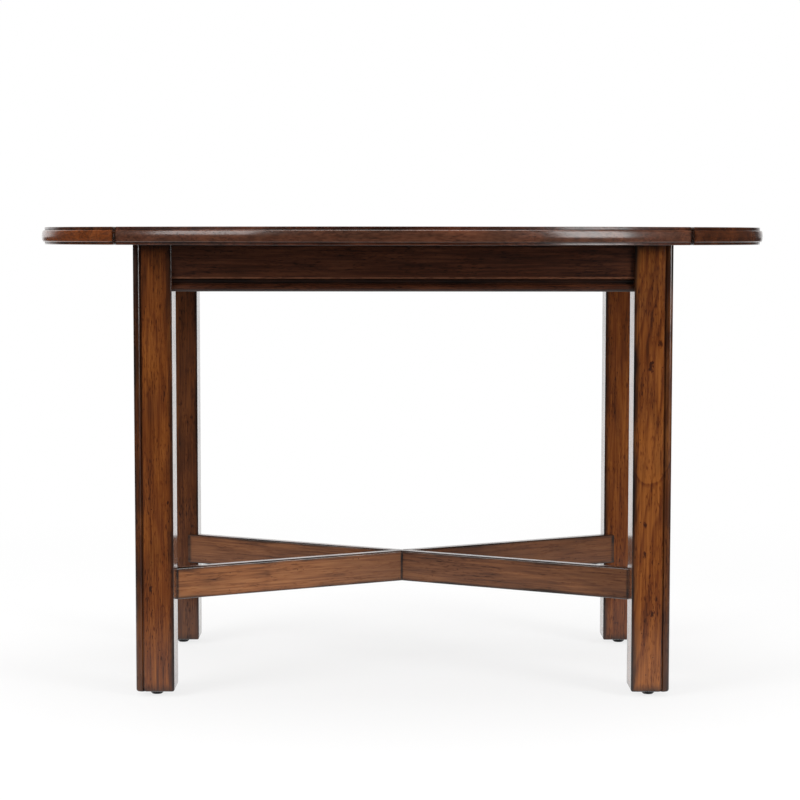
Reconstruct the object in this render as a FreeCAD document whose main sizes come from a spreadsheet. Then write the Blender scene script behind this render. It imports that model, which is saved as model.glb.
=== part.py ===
import FreeCAD
import Part
import math
import os
import re
import Sketcher
from FreeCAD import Placement, Rotation, Vector

# Butler tray table: an oval tray with four hinged leaves on a four-legged stand.
# Millimetres, +Z up. The origin is on the floor under the middle of the table, +X runs along its length
# and the front faces -Y. The leaves are modelled down, flush with the tray.

LEFT = "left"
RIGHT = "right"
UP = (0, 0, 1)
DOWN = (0, 0, -1)
COUNTERSINK_ANGLE = 90
NUT_SIDES = 6

DIMENSIONS = (
    ("table_height", 610, "floor to the top surface"),
    ("top_thick", 23, "tray panel and leaves"),
    ("tray_length", 734, "between the hinge lines of the end leaves"),
    ("tray_depth", 455, "between the hinge lines of the long leaves"),
    ("end_reach", 125, "hinge line to the edge of an end leaf, at its middle"),
    ("corner_out", 5, "the oval passes this far outside the corners of the hinge lines"),
    ("tip_trim", 2.8, "tips of the long leaves are cut back this far from the end hinge line"),
    ("edge_set", 3.8, "fillets of the moulded edge, in from the band"),
    ("edge_round", 2.8, "rounded shoulders of the band"),
    ("edge_fillet", 3, "upper fillet of the moulded edge"),
    ("edge_foot", 2.3, "lower fillet of the moulded edge"),
    ("tip_round", 1.4, "rounding of the upright corners at the ends of the moulded edge"),
    ("slot_width", 28, "hand-hold slot across"),
    ("end_slot_long", 104, "hand-hold slot of an end leaf"),
    ("end_slot_out", 72, "its middle, out from the hinge line"),
    ("side_slot_long", 112, "hand-hold slot of a long leaf"),
    ("side_slot_out", 66, "its middle, out from the hinge line"),
    ("slot_round", 3, "rounding of the slot edges"),
    ("sweep_spare", 0.1, "a leaf is turned this share past its tips, which are then cut"),
    ("trim_room", 50, "cutting outline of a leaf, past its tips"),
    ("cut_clear", 1, "cutting outlines start this far off the piece"),
    ("base_length", 694, "over the leg faces"),
    ("base_depth", 411, "over the leg faces"),
    ("leg_size", 50, "square"),
    ("leg_ease", 1.5, "rounding of the side arrises"),
    ("bead_radius", 5, "bead on the outer corner of a leg"),
    ("quirk_wide", 1.6, "groove beside the bead"),
    ("quirk_deep", 3, "groove beside the bead"),
    ("glide_high", 6.5, "floor glide"),
    ("glide_wide", 19, "floor glide"),
    ("glide_flat", 13, "flat sole of the glide"),
    ("apron_high", 60, "rail under the tray"),
    ("apron_thick", 20, "rail under the tray"),
    ("apron_setback", 6, "rail face behind the leg face"),
    ("rail_bead", 5, "radius of the bead along the lower edge"),
    ("cove_low", 11, "foot of the cove over the bead"),
    ("cove_high", 16.5, "head of the cove over the bead"),
    ("cove_radius", 6, "hollow over the bead"),
    ("cove_step", 1, "small step at the head of the cove"),
    ("tenon_long", 18, "stub tenon"),
    ("tenon_thick", 10, "stub tenon"),
    ("tenon_shoulder", 7, "above and below the tenon"),
    ("fit_gap", 0.1, "glue line around tenons and dowels, and play of the bolts"),
    ("stretcher_thick", 14, "crossed stretcher"),
    ("stretcher_high", 42, "crossed stretcher"),
    ("stretcher_ease", 2.2, "rounding of its long arrises"),
    ("stretcher_level", 121, "floor to its lower edge"),
    ("stretcher_spare", 21, "its blank past the leg corner, before it is notched"),
    ("notch_side", 56, "cutting outline of the notch, along the leg faces"),
    ("lap_gap", 0.3, "play in the half lap"),
    ("dowel_wide", 8, "stretcher dowel"),
    ("dowel_leg", 20, "its length in the leg"),
    ("dowel_rail", 30, "its length in the stretcher"),
    ("block_level", 542, "floor to the lower face of a corner block"),
    ("block_high", 32, "corner block"),
    ("block_arm", 31, "width of a corner block along the rail"),
    ("bolt_wide", 6, "hanger bolt"),
    ("bolt_leg", 26, "its length in the leg"),
    ("washer_wide", 16, "on the hanger bolt"),
    ("washer_thick", 1.5, "on the hanger bolt"),
    ("nut_across", 10, "over the flats"),
    ("nut_high", 5, "on the hanger bolt"),
    ("block_screw_seat", 14, "counterbore floor, from the leg corner"),
    ("block_play", 0.4, "play of bolts and screws in the block, over the diameter"),
    ("cleat_size", 18, "square batten under the tray"),
    ("cleat_ease", 4, "lead-in chamfer"),
    ("cleat_gap", 2, "play inside the rails"),
    ("side_cleat_long", 420, "along a long side"),
    ("end_cleat_long", 176, "along an end"),
    ("cleat_screw_spread", 0.38, "outer screws, as a share of the cleat length"),
    ("screw_wide", 3.6, "holes for the block and cleat screws"),
    ("screw_head", 7, "seats for the heads of the block and cleat screws"),
    ("hinge_gap", 4.6, "between tray and leaf"),
    ("plate_wide", 38, "hinge plate along the hinge line"),
    ("plate_reach", 32, "hinge line to the round end of the plate"),
    ("plate_thick", 2.5, "hinge plate"),
    ("knuckle_radius", 2, "its top is flush with the tray, so the pin lies this far down"),
    ("knuckle_flat", 1.7, "pin to the detent flats of the leaf knuckle"),
    ("knuckle_long", 13, "middle knuckle, on the leaf plate"),
    ("knuckle_gap", 0.3, "play between knuckles"),
    ("web_lap", 1, "the web of a knuckle runs this far into its plate"),
    ("pin_wide", 2, "hinge pin"),
    ("pin_gap", 0.04, "play around the pin, in radius"),
    ("mortise_gap", 0.15, "play around a hinge plate"),
    ("end_hinge_spread", 125, "hinge middle to leaf middle, end leaves"),
    ("side_hinge_spread", 230, "hinge middle to leaf middle, long leaves"),
    ("hinge_screw_head", 6.2, "countersink of a hinge plate"),
    ("hinge_screw_wide", 3.2, "screw hole of a hinge plate"),
    ("near_screw_out", 10, "inner pair of holes, from the pin"),
    ("near_screw_side", 11.5, "inner pair of holes, from the plate's middle"),
    ("far_screw_out", 23, "outer hole, from the pin"),
    ("spring_thick", 0.8, "flat detent spring under the tray plate"),
    ("spring_wide", 9, "flat detent spring"),
    ("spring_tail", 28, "pin to the far end of the spring"),
    ("spring_bend", 8, "pin to the bend"),
    ("spring_foot", 4, "pin to the end of the bend"),
    ("spring_tip", 1.5, "tip of the spring, past the pin"),
    ("spring_gap", 0.3, "under the turning knuckle"),
)

# Formulas over the sheet. The end leaves are arcs with the given reach, and the long leaves are the arcs
# that continue them without a kink, just outside the tray corners.
TRAY_UNDER = "(table_height - top_thick)"
OVAL_X = "(tray_length / 2 + corner_out)"
OVAL_Y = "(tray_depth / 2 + corner_out)"
END_RISE = "(end_reach - corner_out)"
END_RADIUS = f"(({OVAL_Y}^2 + {END_RISE}^2) / (2 * {END_RISE}))"
END_HINGE = f"({END_RADIUS} - end_reach)"
OVAL_RATIO = f"({OVAL_X} / ({END_RADIUS} - {END_RISE}))"
SIDE_RADIUS = f"({OVAL_RATIO} * {END_RADIUS})"
SIDE_HINGE = f"(tray_depth / 2 + ({OVAL_RATIO} - 1) * {OVAL_Y})"
APRON_UNDER = f"({TRAY_UNDER} - apron_high)"
RAIL_INSET = "(leg_size - apron_setback - apron_thick)"
STAND_X = "(base_length / 2 - leg_size)"
STAND_Y = "(base_depth / 2 - leg_size)"
DIAGONAL = f"sqrt({STAND_X}^2 + {STAND_Y}^2)"
BLOCK_MIDDLE = "(block_level + block_high / 2)"
BLOCK_SCREW = f"({RAIL_INSET} + block_arm / 2)"
DOWEL_LEVEL = "(stretcher_level + stretcher_high / 4)"

END_LEAF = {
    "edge": "tray_length / 2", "half": "tray_depth / 2", "radius": END_RADIUS, "hinge": END_HINGE,
    "tip": f"({OVAL_Y} + trim_room / 2)",
    "spread": "end_hinge_spread", "slot_long": "end_slot_long", "slot_out": "end_slot_out",
}
SIDE_LEAF = {
    "edge": "tray_depth / 2", "half": "tray_length / 2", "radius": SIDE_RADIUS, "hinge": SIDE_HINGE,
    "tip": "(tray_length / 2 - tip_trim)",
    "spread": "side_hinge_spread", "slot_long": "side_slot_long", "slot_out": "side_slot_out",
}
# Side, its turn about Z, its leaf, and the names of its hinges towards its local +y and -y.
SIDES = (
    ("right", 0, END_LEAF, ("rear", "front")),
    ("rear", 90, SIDE_LEAF, ("left", "right")),
    ("left", 180, END_LEAF, ("front", "rear")),
    ("front", 270, SIDE_LEAF, ("right", "left")),
)
# Corner, its turn about Z, and the signs of its X and Y.
CORNERS = (
    ("rear_right", 0, 1, 1),
    ("rear_left", 90, -1, 1),
    ("front_left", 180, -1, -1),
    ("front_right", 270, 1, -1),
)
# Rail side, its turn about Z from the rear rail, its leg faces from the middle, half its span, the length
# of its cleat, and the places of the cleat's screw holes.
RAILS = (
    ("rear", 0, "base_depth / 2", STAND_X, "side_cleat_long", (-1, 0, 1)),
    ("left", 90, "base_length / 2", STAND_Y, "end_cleat_long", (-1, 1)),
    ("front", 180, "base_depth / 2", STAND_X, "side_cleat_long", (-1, 0, 1)),
    ("right", 270, "base_length / 2", STAND_Y, "end_cleat_long", (-1, 1)),
)

doc = FreeCAD.newDocument("butler_tray_table")
dims = doc.addObject("Spreadsheet::Sheet", "dims")
nodes = []


# The driving dimensions
def fill_sheet():
    for row, (alias, number, note) in enumerate(DIMENSIONS, start=1):
        dims.set(f"A{row}", note)
        dims.set(f"B{row}", str(number))
        dims.setAlias(f"B{row}", alias)
    doc.recompute()


def cells(formula):
    """The formula with each alias written as a cell of the sheet."""
    return re.sub(r"[a-z]+(_[a-z]+)+", lambda found: "dims." + found.group(0), formula)


def size(formula):
    """The formula's present value."""
    return float(dims.evalExpression(cells(formula)))


def bind(thing, path, formula):
    thing.setExpression(path, cells(formula))


# Bodies and sketches
def new_body(label, origin=("0", "0", "0"), turn=0):
    body = doc.addObject("PartDesign::Body", label)
    body.Label = label
    body.Placement = Placement(Vector(), Rotation(Vector(UP), turn))
    for axis, formula in zip("xyz", origin):
        bind(body, "Placement.Base." + axis, formula)
    nodes.append(body)
    return body


def swung(turn, out, across):
    """A point given out from one side of the table and across it, for a side turned about Z."""
    return {
        0: (out, across),
        90: (f"-({across})", out),
        180: (f"-({out})", f"-({across})"),
        270: (across, f"-({out})"),
    }[turn]


def facing(x_axis, normal):
    """Rotation with its x along x_axis and its z along normal."""
    z_axis = Vector(normal)
    return Rotation(Vector(x_axis), z_axis.cross(Vector(x_axis)), z_axis, "ZXY")


def new_sketch(body, name, origin=("0", "0", "0"), x_axis=(1, 0, 0), normal=UP):
    sketch = body.newObject("Sketcher::SketchObject", f"{body.Label}_{name}")
    plane = next(item for item in body.Origin.OriginFeatures if item.Role == "XY_Plane")
    sketch.AttachmentSupport = [(plane, "")]
    sketch.MapMode = "FlatFace"
    sketch.AttachmentOffset = Placement(Vector(), facing(x_axis, normal))
    for axis, formula in zip("xyz", origin):
        bind(sketch, "AttachmentOffset.Base." + axis, formula)
    return sketch


def arc_between(start, end, radius, turn):
    """Arc of under a half circle that turns left or right on its way from start to end."""
    chord = end - start
    to_centre = Vector(-chord.y, chord.x, 0).normalize()
    if turn == RIGHT:
        to_centre = -to_centre
        start, end = end, start
    centre = (start + end) / 2 + to_centre * math.sqrt(radius**2 - (chord.Length / 2) ** 2)
    begin, finish = (math.atan2(point.y - centre.y, point.x - centre.x) for point in (start, end))
    return Part.ArcOfCircle(Part.Circle(centre, Vector(UP), radius), begin, finish)


def draw(sketch, corners):
    """Closed outline. A corner is (x, y), or (x, y, radius, turn) where an arc leads to it."""
    points = [Vector(size(corner[0]), size(corner[1]), 0) for corner in corners]
    edges = []
    rules = []
    for index, corner in enumerate(corners):
        if len(corner) == 2:
            edge = sketch.addGeometry(Part.LineSegment(points[index - 1], points[index]))
            edges.append((edge, 1, 2))
            continue
        radius, turn = corner[2:]
        edge = sketch.addGeometry(arc_between(points[index - 1], points[index], size(radius), turn))
        edges.append((edge, 1, 2) if turn == LEFT else (edge, 2, 1))
        rules.append((Sketcher.Constraint("Radius", edge, size(radius)), radius))
    for index, corner in enumerate(corners):
        edge, _, last = edges[index]
        following, first, _ = edges[(index + 1) % len(edges)]
        sketch.addConstraint(Sketcher.Constraint("Coincident", edge, last, following, first))
        for kind, formula in zip(("DistanceX", "DistanceY"), corner[:2]):
            rules.append((Sketcher.Constraint(kind, -1, 1, edge, last, size(formula)), formula))
    bind_rules(sketch, rules)


def draw_circle(sketch, x, y, diameter):
    centre = Vector(size(x), size(y), 0)
    edge = sketch.addGeometry(Part.Circle(centre, Vector(UP), size(diameter) / 2))
    bind_rules(sketch, (
        (Sketcher.Constraint("Diameter", edge, size(diameter)), diameter),
        (Sketcher.Constraint("DistanceX", -1, 1, edge, 3, centre.x), x),
        (Sketcher.Constraint("DistanceY", -1, 1, edge, 3, centre.y), y),
    ))


def draw_box(sketch, x_low, x_high, y_low, y_high):
    draw(sketch, ((x_low, y_low), (x_high, y_low), (x_high, y_high), (x_low, y_high)))


def draw_round_box(sketch, x_low, x_high, y_low, y_high, ease):
    draw(sketch, (
        (f"{x_high} - {ease}", y_low), (x_high, f"{y_low} + {ease}", ease, LEFT),
        (x_high, f"{y_high} - {ease}"), (f"{x_high} - {ease}", y_high, ease, LEFT),
        (f"{x_low} + {ease}", y_high), (x_low, f"{y_high} - {ease}", ease, LEFT),
        (x_low, f"{y_low} + {ease}"), (f"{x_low} + {ease}", y_low, ease, LEFT),
    ))


def bind_rules(sketch, rules):
    for rule, formula in rules:
        bind(sketch, f"Constraints[{sketch.addConstraint(rule)}]", formula)


# Features of a body
def pad(body, sketch, length, side="One side"):
    feature = body.newObject("PartDesign::Pad", sketch.Name + "_pad")
    feature.Profile = sketch
    feature.SideType = side
    bind(feature, "Length", length)


def pocket(body, sketch, depth):
    """Cut against the sketch's normal, and make sure that the cut takes something away."""
    doc.recompute()
    before = body.Shape.Volume
    feature = body.newObject("PartDesign::Pocket", sketch.Name + "_cut")
    feature.Profile = sketch
    bind(feature, "Length", depth)
    doc.recompute()
    if body.Shape.Volume >= before:
        raise RuntimeError(f"{feature.Name} cuts nothing")


def bore(body, name, origin, direction, diameter, depth):
    """Round hole of any direction in the plan, or straight up or down."""
    along = Vector(direction).normalize()
    across = (1, 0, 0) if along.x == along.y == 0 else (along.y, -along.x, 0)
    sketch = new_sketch(body, name, origin, across, -along)
    draw_circle(sketch, "0", "0", diameter)
    pocket(body, sketch, depth)


def revolve(body, sketch, angle):
    feature = body.newObject("PartDesign::Revolution", sketch.Name + "_turn")
    feature.Profile = sketch
    feature.ReferenceAxis = (sketch, ["V_Axis"])
    feature.Midplane = True
    bind(feature, "Angle", angle)


def countersink(body, sketch, diameter, head):
    doc.recompute()
    feature = body.newObject("PartDesign::Hole", sketch.Name + "_hole")
    feature.Profile = sketch
    feature.DepthType = "ThroughAll"
    feature.HoleCutType = "Countersink"
    feature.HoleCutCountersinkAngle = COUNTERSINK_ANGLE
    bind(feature, "Diameter", diameter)
    bind(feature, "HoleCutDiameter", head)


# Groups of small pieces
def new_group(label, shape, places):
    """One node that holds a copy of the shape at each place."""
    group = doc.addObject("Part::Feature", label)
    group.Label = label
    copies = []
    for place in places:
        copy = shape.copy()
        copy.Placement = place.multiply(shape.Placement)
        copies.append(copy)
    group.Shape = Part.makeCompound(copies)
    nodes.append(group)


def spot(origin, turn):
    """Place at a point given by formulas, turned about Z."""
    return Placement(Vector(*(size(formula) for formula in origin)), Rotation(Vector(UP), turn))


# Hinges. Their frame has the pin along y, x out of the tray, and z = 0 at the top surface.
def plate_outline(start, margin):
    """Plate with a half round end, from start to its reach."""
    radius = f"(plate_wide / 2 + {margin})"
    bend = "(plate_reach - plate_wide / 2)"
    return (
        (start, f"-{radius}"),
        (bend, f"-{radius}"),
        (f"{bend} + {radius}", "0", radius, LEFT),
        (bend, radius, radius, LEFT),
        (start, radius),
    )


def screw_spots():
    """Screw holes of a plate, out from the pin and along it."""
    return (
        ("near_screw_out", "near_screw_side"),
        ("near_screw_out", "-near_screw_side"),
        ("far_screw_out", "0"),
    )


def hinge_spots(leaf):
    """Hinges of a side, along its hinge line."""
    return (leaf["spread"], "-" + leaf["spread"])


def hinge_names(side, ends):
    return [f"{side}_{end}" for end in ends]


def cut_hinge_seat(body, name, origin, inward, with_spring):
    """Mortise for a hinge plate and, in the tray, the recess of its spring."""
    seat = new_sketch(body, f"{name}_seat", origin, inward)
    draw(seat, plate_outline("0", "mortise_gap"))
    pocket(body, seat, "plate_thick")
    if with_spring:
        recess = new_sketch(body, f"{name}_recess", origin, inward)
        room = "(spring_wide / 2 + spring_gap)"
        draw_box(recess, "0", "spring_tail + spring_gap", f"-{room}", room)
        pocket(body, recess, "2 * knuckle_radius + 2 * spring_gap + spring_thick")


def knuckle_outline(with_flats):
    """Knuckle with its web, plate side towards +x, flush on top."""
    drop = "knuckle_radius"
    radius = "knuckle_radius"
    root = "hinge_gap / 2 + web_lap"
    web = f"sqrt({radius}^2 - (plate_thick - {drop})^2)"
    if with_flats:
        corner = f"sqrt({radius}^2 - knuckle_flat^2)"
        around = (
            ("-knuckle_flat", f"-{drop} + {corner}", radius, LEFT),
            ("-knuckle_flat", f"-{drop} - {corner}"),
            (f"-{corner}", f"-{drop} - knuckle_flat", radius, LEFT),
            (corner, f"-{drop} - knuckle_flat"),
        )
    else:
        around = (
            (f"-{radius}", f"-{drop}", radius, LEFT),
            ("0", f"-{drop} - {radius}", radius, LEFT),
        )
    ends = ((web, "-plate_thick", radius, LEFT), (root, "-plate_thick"), (root, "0"))
    return (("0", "0"),) + around + ends


def hinge_plate(label, origin, turn, inward, knuckles, with_flats):
    """One plate of a hinge. inward is +1 on the leaf and -1 on the tray."""
    body = new_body(label, origin, turn)
    own_side = (inward, 0, 0)
    blank = new_sketch(body, "blank", ("0", "0", "-plate_thick"), own_side)
    draw(blank, plate_outline("hinge_gap / 2", "0"))
    pad(body, blank, "plate_thick")
    for index, (begin, long) in enumerate(knuckles):
        knuckle = new_sketch(body, f"knuckle{index}", ("0", begin, "0"), own_side, (0, -inward, 0))
        draw(knuckle, knuckle_outline(with_flats))
        pad(body, knuckle, long, "One side" if inward < 0 else "Symmetric")
    eye = new_sketch(body, "eye", ("0", "-plate_wide", "-knuckle_radius"), (1, 0, 0), (0, -1, 0))
    draw_circle(eye, "0", "0", "pin_wide + 2 * pin_gap")
    pocket(body, eye, "2 * plate_wide")
    holes = new_sketch(body, "holes", x_axis=own_side)
    for out, side in screw_spots():
        draw_circle(holes, out, side, "hinge_screw_wide")
    countersink(body, holes, "hinge_screw_wide", "hinge_screw_head")


def hinge_pin(label, origin, turn):
    body = new_body(label, origin, turn)
    section = new_sketch(body, "section", ("0", "0", "-knuckle_radius"), (1, 0, 0), (0, -1, 0))
    draw_circle(section, "0", "0", "pin_wide")
    pad(body, section, "plate_wide", "Symmetric")


def detent_spring():
    """Bent strip that lies under the tray plate and reaches under the leaf knuckle."""
    words = ("tail", "bend", "foot", "tip", "thick")
    tail, bend, foot, tip, thick = (size("spring_" + word) for word in words)
    upper = -size("plate_thick")
    lower = -size("2 * knuckle_radius + spring_gap")
    lean = thick / 2
    profile = (
        (-tail, upper), (-bend, upper), (-foot, lower), (tip, lower),
        (tip, lower - thick), (lean - foot, lower - thick),
        (lean - bend, upper - thick), (-tail, upper - thick),
    )
    half = size("spring_wide") / 2
    points = [Vector(along, -half, height) for along, height in profile]
    strip = Part.Face(Part.makePolygon(points + points[:1])).extrude(Vector(0, 2 * half, 0))
    hole = Part.makeCylinder(size("hinge_screw_wide / 2"), size("top_thick"))
    hole.translate(Vector(-size("far_screw_out"), 0, -size("top_thick")))
    return strip.cut(hole)


def make_hinges():
    outer = "((plate_wide - knuckle_long) / 2 - knuckle_gap)"
    tray_knuckles = (("-plate_wide / 2", outer), ("knuckle_long / 2 + knuckle_gap", outer))
    leaf_knuckles = (("0", "knuckle_long"),)
    places = []
    for side, turn, leaf, ends in SIDES:
        for name, along in zip(hinge_names(side, ends), hinge_spots(leaf)):
            origin = swung(turn, leaf["edge"], along) + ("table_height",)
            hinge_plate(f"hinge_tray_plate_{name}", origin, turn, -1, tray_knuckles, False)
            hinge_plate(f"hinge_leaf_plate_{name}", origin, turn, 1, leaf_knuckles, True)
            hinge_pin(f"hinge_pin_{name}", origin, turn)
            places.append(spot(origin, turn))
    new_group("hinge_springs", detent_spring(), places)


# Tray and leaves
def make_tray():
    tray = new_body("tray_panel", ("0", "0", "table_height"))
    board = new_sketch(tray, "board", ("0", "0", "-top_thick"))
    half_x = "((tray_length - hinge_gap) / 2)"
    half_y = "((tray_depth - hinge_gap) / 2)"
    draw_box(board, f"-{half_x}", half_x, f"-{half_y}", half_y)
    pad(tray, board, "top_thick")
    for side, turn, leaf, ends in SIDES:
        out = Rotation(Vector(UP), turn).multVec(Vector(-1, 0, 0))
        for name, along in zip(hinge_names(side, ends), hinge_spots(leaf)):
            cut_hinge_seat(tray, name, swung(turn, leaf["edge"], along) + ("0",), out, True)


def leaf_section(leaf):
    """Moulded edge: a band with round shoulders between two fillets, on a board that reaches the hinge line."""
    radius = leaf["radius"]
    inner = f"{leaf['hinge']} - hinge_gap"
    set_back = f"{radius} - edge_set"
    shoulder = f"{radius} - edge_round"
    foot = "edge_foot - top_thick"
    return (
        (inner, "-top_thick"),
        (set_back, "-top_thick"), (set_back, foot), (shoulder, foot),
        (radius, f"{foot} + edge_round", "edge_round", LEFT),
        (radius, "-edge_fillet - edge_round"),
        (shoulder, "-edge_fillet", "edge_round", LEFT),
        (set_back, "-edge_fillet"), (set_back, "0"),
        (inner, "0"),
    )


def leaf_trim(leaf):
    """Cut along the hinge line. The tips of a long leaf are cut off too, and an end leaf runs past its own."""
    line = f"{leaf['hinge']} + hinge_gap / 2"
    tip = leaf["tip"]
    beyond = f"({leaf['half']} + trim_room)"
    return (
        (leaf["radius"], tip), (line, tip), (line, f"-{tip}"), (leaf["radius"], f"-{tip}"),
        (leaf["radius"], f"-{beyond}"), ("0", f"-{beyond}"), ("0", beyond), (leaf["radius"], beyond),
    )


def slot_outline(leaf):
    middle = f"({leaf['hinge']} + {leaf['slot_out']})"
    radius = "(slot_width / 2)"
    straight = f"({leaf['slot_long']} / 2 - {radius})"
    return (
        (f"{middle} + {radius}", straight),
        (middle, f"{straight} + {radius}", radius, LEFT),
        (f"{middle} - {radius}", straight, radius, LEFT),
        (f"{middle} - {radius}", f"-{straight}"),
        (middle, f"-{straight} - {radius}", radius, LEFT),
        (f"{middle} + {radius}", f"-{straight}", radius, LEFT),
    )


def round_edges(body, radius, chosen):
    """Round the edges whose boxes the test picks."""
    doc.recompute()
    base = body.Tip
    names = [f"Edge{index}" for index, edge in enumerate(base.Shape.Edges, start=1) if chosen(edge.BoundBox)]
    feature = body.newObject("PartDesign::Fillet", f"{body.Label}_{radius}")
    feature.Base = (base, names)
    bind(feature, "Radius", radius)


def round_tips(body, leaf):
    """Round the upright corners between the moulded edge and the seams."""
    near = size("fit_gap")
    radius = size(leaf["radius"])

    def at_tip(box):
        upright = max(box.XLength, box.YLength) < near < box.ZLength
        return upright and abs(math.hypot(box.Center.x, box.Center.y) - radius) < near

    round_edges(body, "tip_round", at_tip)


def round_slot(body, leaf):
    """Round the upper and lower edges of the hand-hold."""
    near = size("fit_gap")
    middle = size(f"{leaf['hinge']} + {leaf['slot_out']}")
    half_wide = size("slot_width / 2 + fit_gap")
    half_long = size(f"{leaf['slot_long']} / 2 + fit_gap")

    def on_slot(box):
        inside = abs(box.Center.x - middle) < half_wide and abs(box.Center.y) < half_long
        return inside and box.XLength < 2 * half_wide and box.ZLength < near

    round_edges(body, "slot_round", on_slot)


def make_leaves():
    for side, turn, leaf, ends in SIDES:
        centre = swung(turn, f"{leaf['edge']} - {leaf['hinge']}", "0") + ("table_height",)
        body = new_body(f"{side}_leaf", centre, turn)
        section = new_sketch(body, "section", normal=(0, -1, 0))
        draw(section, leaf_section(leaf))
        revolve(body, section, f"2 * (1 + sweep_spare) * asin({leaf['half']} / {leaf['radius']})")
        trim = new_sketch(body, "trim", ("0", "0", "cut_clear"))
        draw(trim, leaf_trim(leaf))
        pocket(body, trim, "top_thick + 2 * cut_clear")
        round_tips(body, leaf)
        slot = new_sketch(body, "slot", ("0", "0", "cut_clear"))
        draw(slot, slot_outline(leaf))
        pocket(body, slot, "top_thick + 2 * cut_clear")
        round_slot(body, leaf)
        for name, along in zip(hinge_names(side, ends), hinge_spots(leaf)):
            cut_hinge_seat(body, name, (leaf["hinge"], along, "0"), (1, 0, 0), False)


def make_cleats():
    for side, turn, face, _, long, shares in RAILS:
        out = f"{face} - apron_setback - apron_thick - cleat_gap"
        body = new_body(f"tray_cleat_{side}", swung(turn, "0", out) + (TRAY_UNDER,), turn)
        section = new_sketch(body, "section", x_axis=(0, 1, 0), normal=(1, 0, 0))
        draw(section, (
            ("-cleat_size", "0"), ("-cleat_size", "cleat_ease - cleat_size"),
            ("cleat_ease - cleat_size", "-cleat_size"), ("-cleat_ease", "-cleat_size"),
            ("0", "cleat_ease - cleat_size"), ("0", "0"),
        ))
        pad(body, section, long, "Symmetric")
        holes = new_sketch(body, "holes", ("0", "0", "-cleat_size"), normal=DOWN)
        for share in shares:
            draw_circle(holes, f"{share} * cleat_screw_spread * {long}", "cleat_size / 2", "screw_wide")
        countersink(body, holes, "screw_wide", "screw_head")


# Stand
def leg_section():
    """Square with eased side arrises and a quirked bead on the outer corner."""
    side = "leg_size"
    middle = "(leg_size - bead_radius)"
    floor = "(leg_size - quirk_deep)"
    lip = "(leg_size - 2 * bead_radius - quirk_wide)"
    meet = f"({middle} - sqrt(bead_radius^2 - (bead_radius - quirk_deep)^2))"
    return (
        ("0", "0"), (f"{side} - leg_ease", "0"), (side, "leg_ease", "leg_ease", LEFT),
        (side, lip), (floor, lip), (floor, meet),
        (side, middle, "bead_radius", LEFT), (middle, side, "bead_radius", LEFT),
        (meet, floor, "bead_radius", LEFT),
        (lip, floor), (lip, side), ("leg_ease", side), ("0", f"{side} - leg_ease", "leg_ease", LEFT),
    )


def make_legs():
    near = "(leg_size - apron_setback - (apron_thick + tenon_thick) / 2 - fit_gap)"
    far = "(leg_size - apron_setback - (apron_thick - tenon_thick) / 2 + fit_gap)"
    low = f"{APRON_UNDER} + tenon_shoulder - fit_gap"
    high = f"{TRAY_UNDER} - tenon_shoulder + fit_gap"
    for corner, turn, x_sign, y_sign in CORNERS:
        origin = (f"{x_sign} * {STAND_X}", f"{y_sign} * {STAND_Y}", "0")
        body = new_body(f"leg_{corner}", origin, turn)
        section = new_sketch(body, "section", ("0", "0", "glide_high"))
        draw(section, leg_section())
        pad(body, section, f"{TRAY_UNDER} - glide_high")
        for name, x_axis, normal, sides in (
            ("mortise_x", (0, -1, 0), (-1, 0, 0), (f"-{far}", f"-{near}")),
            ("mortise_y", (1, 0, 0), (0, -1, 0), (near, far)),
        ):
            mortise = new_sketch(body, name, x_axis=x_axis, normal=normal)
            draw_box(mortise, *sides, low, high)
            pocket(body, mortise, "tenon_long + fit_gap")
        bore(
            body, "bolt_hole", ("-bolt_wide", "-bolt_wide", BLOCK_MIDDLE), (1, 1, 0),
            "bolt_wide + 2 * fit_gap", "bolt_leg + bolt_wide * sqrt(2) + fit_gap",
        )
        lean = stretcher_lean(turn)
        start = [f"-dowel_wide * {part}" for part in lean] + [DOWEL_LEVEL]
        bore(
            body, "dowel_hole", start, (size(lean[0]), size(lean[1]), 0),
            "dowel_wide + 2 * fit_gap", "dowel_leg + dowel_wide + fit_gap",
        )


def stretcher_lean(turn):
    """Direction of the stretcher in the frame of a leg."""
    parts = (f"({STAND_X} / {DIAGONAL})", f"({STAND_Y} / {DIAGONAL})")
    return parts if turn in (0, 180) else parts[::-1]


def make_aprons():
    for side, turn, face, half_span, _, _ in RAILS:
        body = new_body(f"apron_{side}", swung(turn, "0", f"{face} - apron_setback") + ("0",), turn)
        section = new_sketch(body, "section", ("0", "0", APRON_UNDER), (0, 1, 0), (1, 0, 0))
        draw(section, (
            ("-apron_thick", "apron_high"), ("-apron_thick", "0"), ("-rail_bead", "0"),
            ("0", "rail_bead", "rail_bead", LEFT), ("-rail_bead", "2 * rail_bead", "rail_bead", LEFT),
            ("-rail_bead", "cove_low"), ("-cove_step", "cove_high", "cove_radius", RIGHT),
            ("-cove_step", "cove_high + cove_step"), ("0", "cove_high + cove_step"), ("0", "apron_high"),
        ))
        pad(body, section, f"2 * {half_span}", "Symmetric")
        tenon = new_sketch(body, "tenon", ("0", "0", APRON_UNDER), (0, 1, 0), (1, 0, 0))
        draw_box(
            tenon, "-(apron_thick + tenon_thick) / 2", "-(apron_thick - tenon_thick) / 2",
            "tenon_shoulder", "apron_high - tenon_shoulder",
        )
        pad(body, tenon, f"2 * ({half_span} + tenon_long)", "Symmetric")


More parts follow.
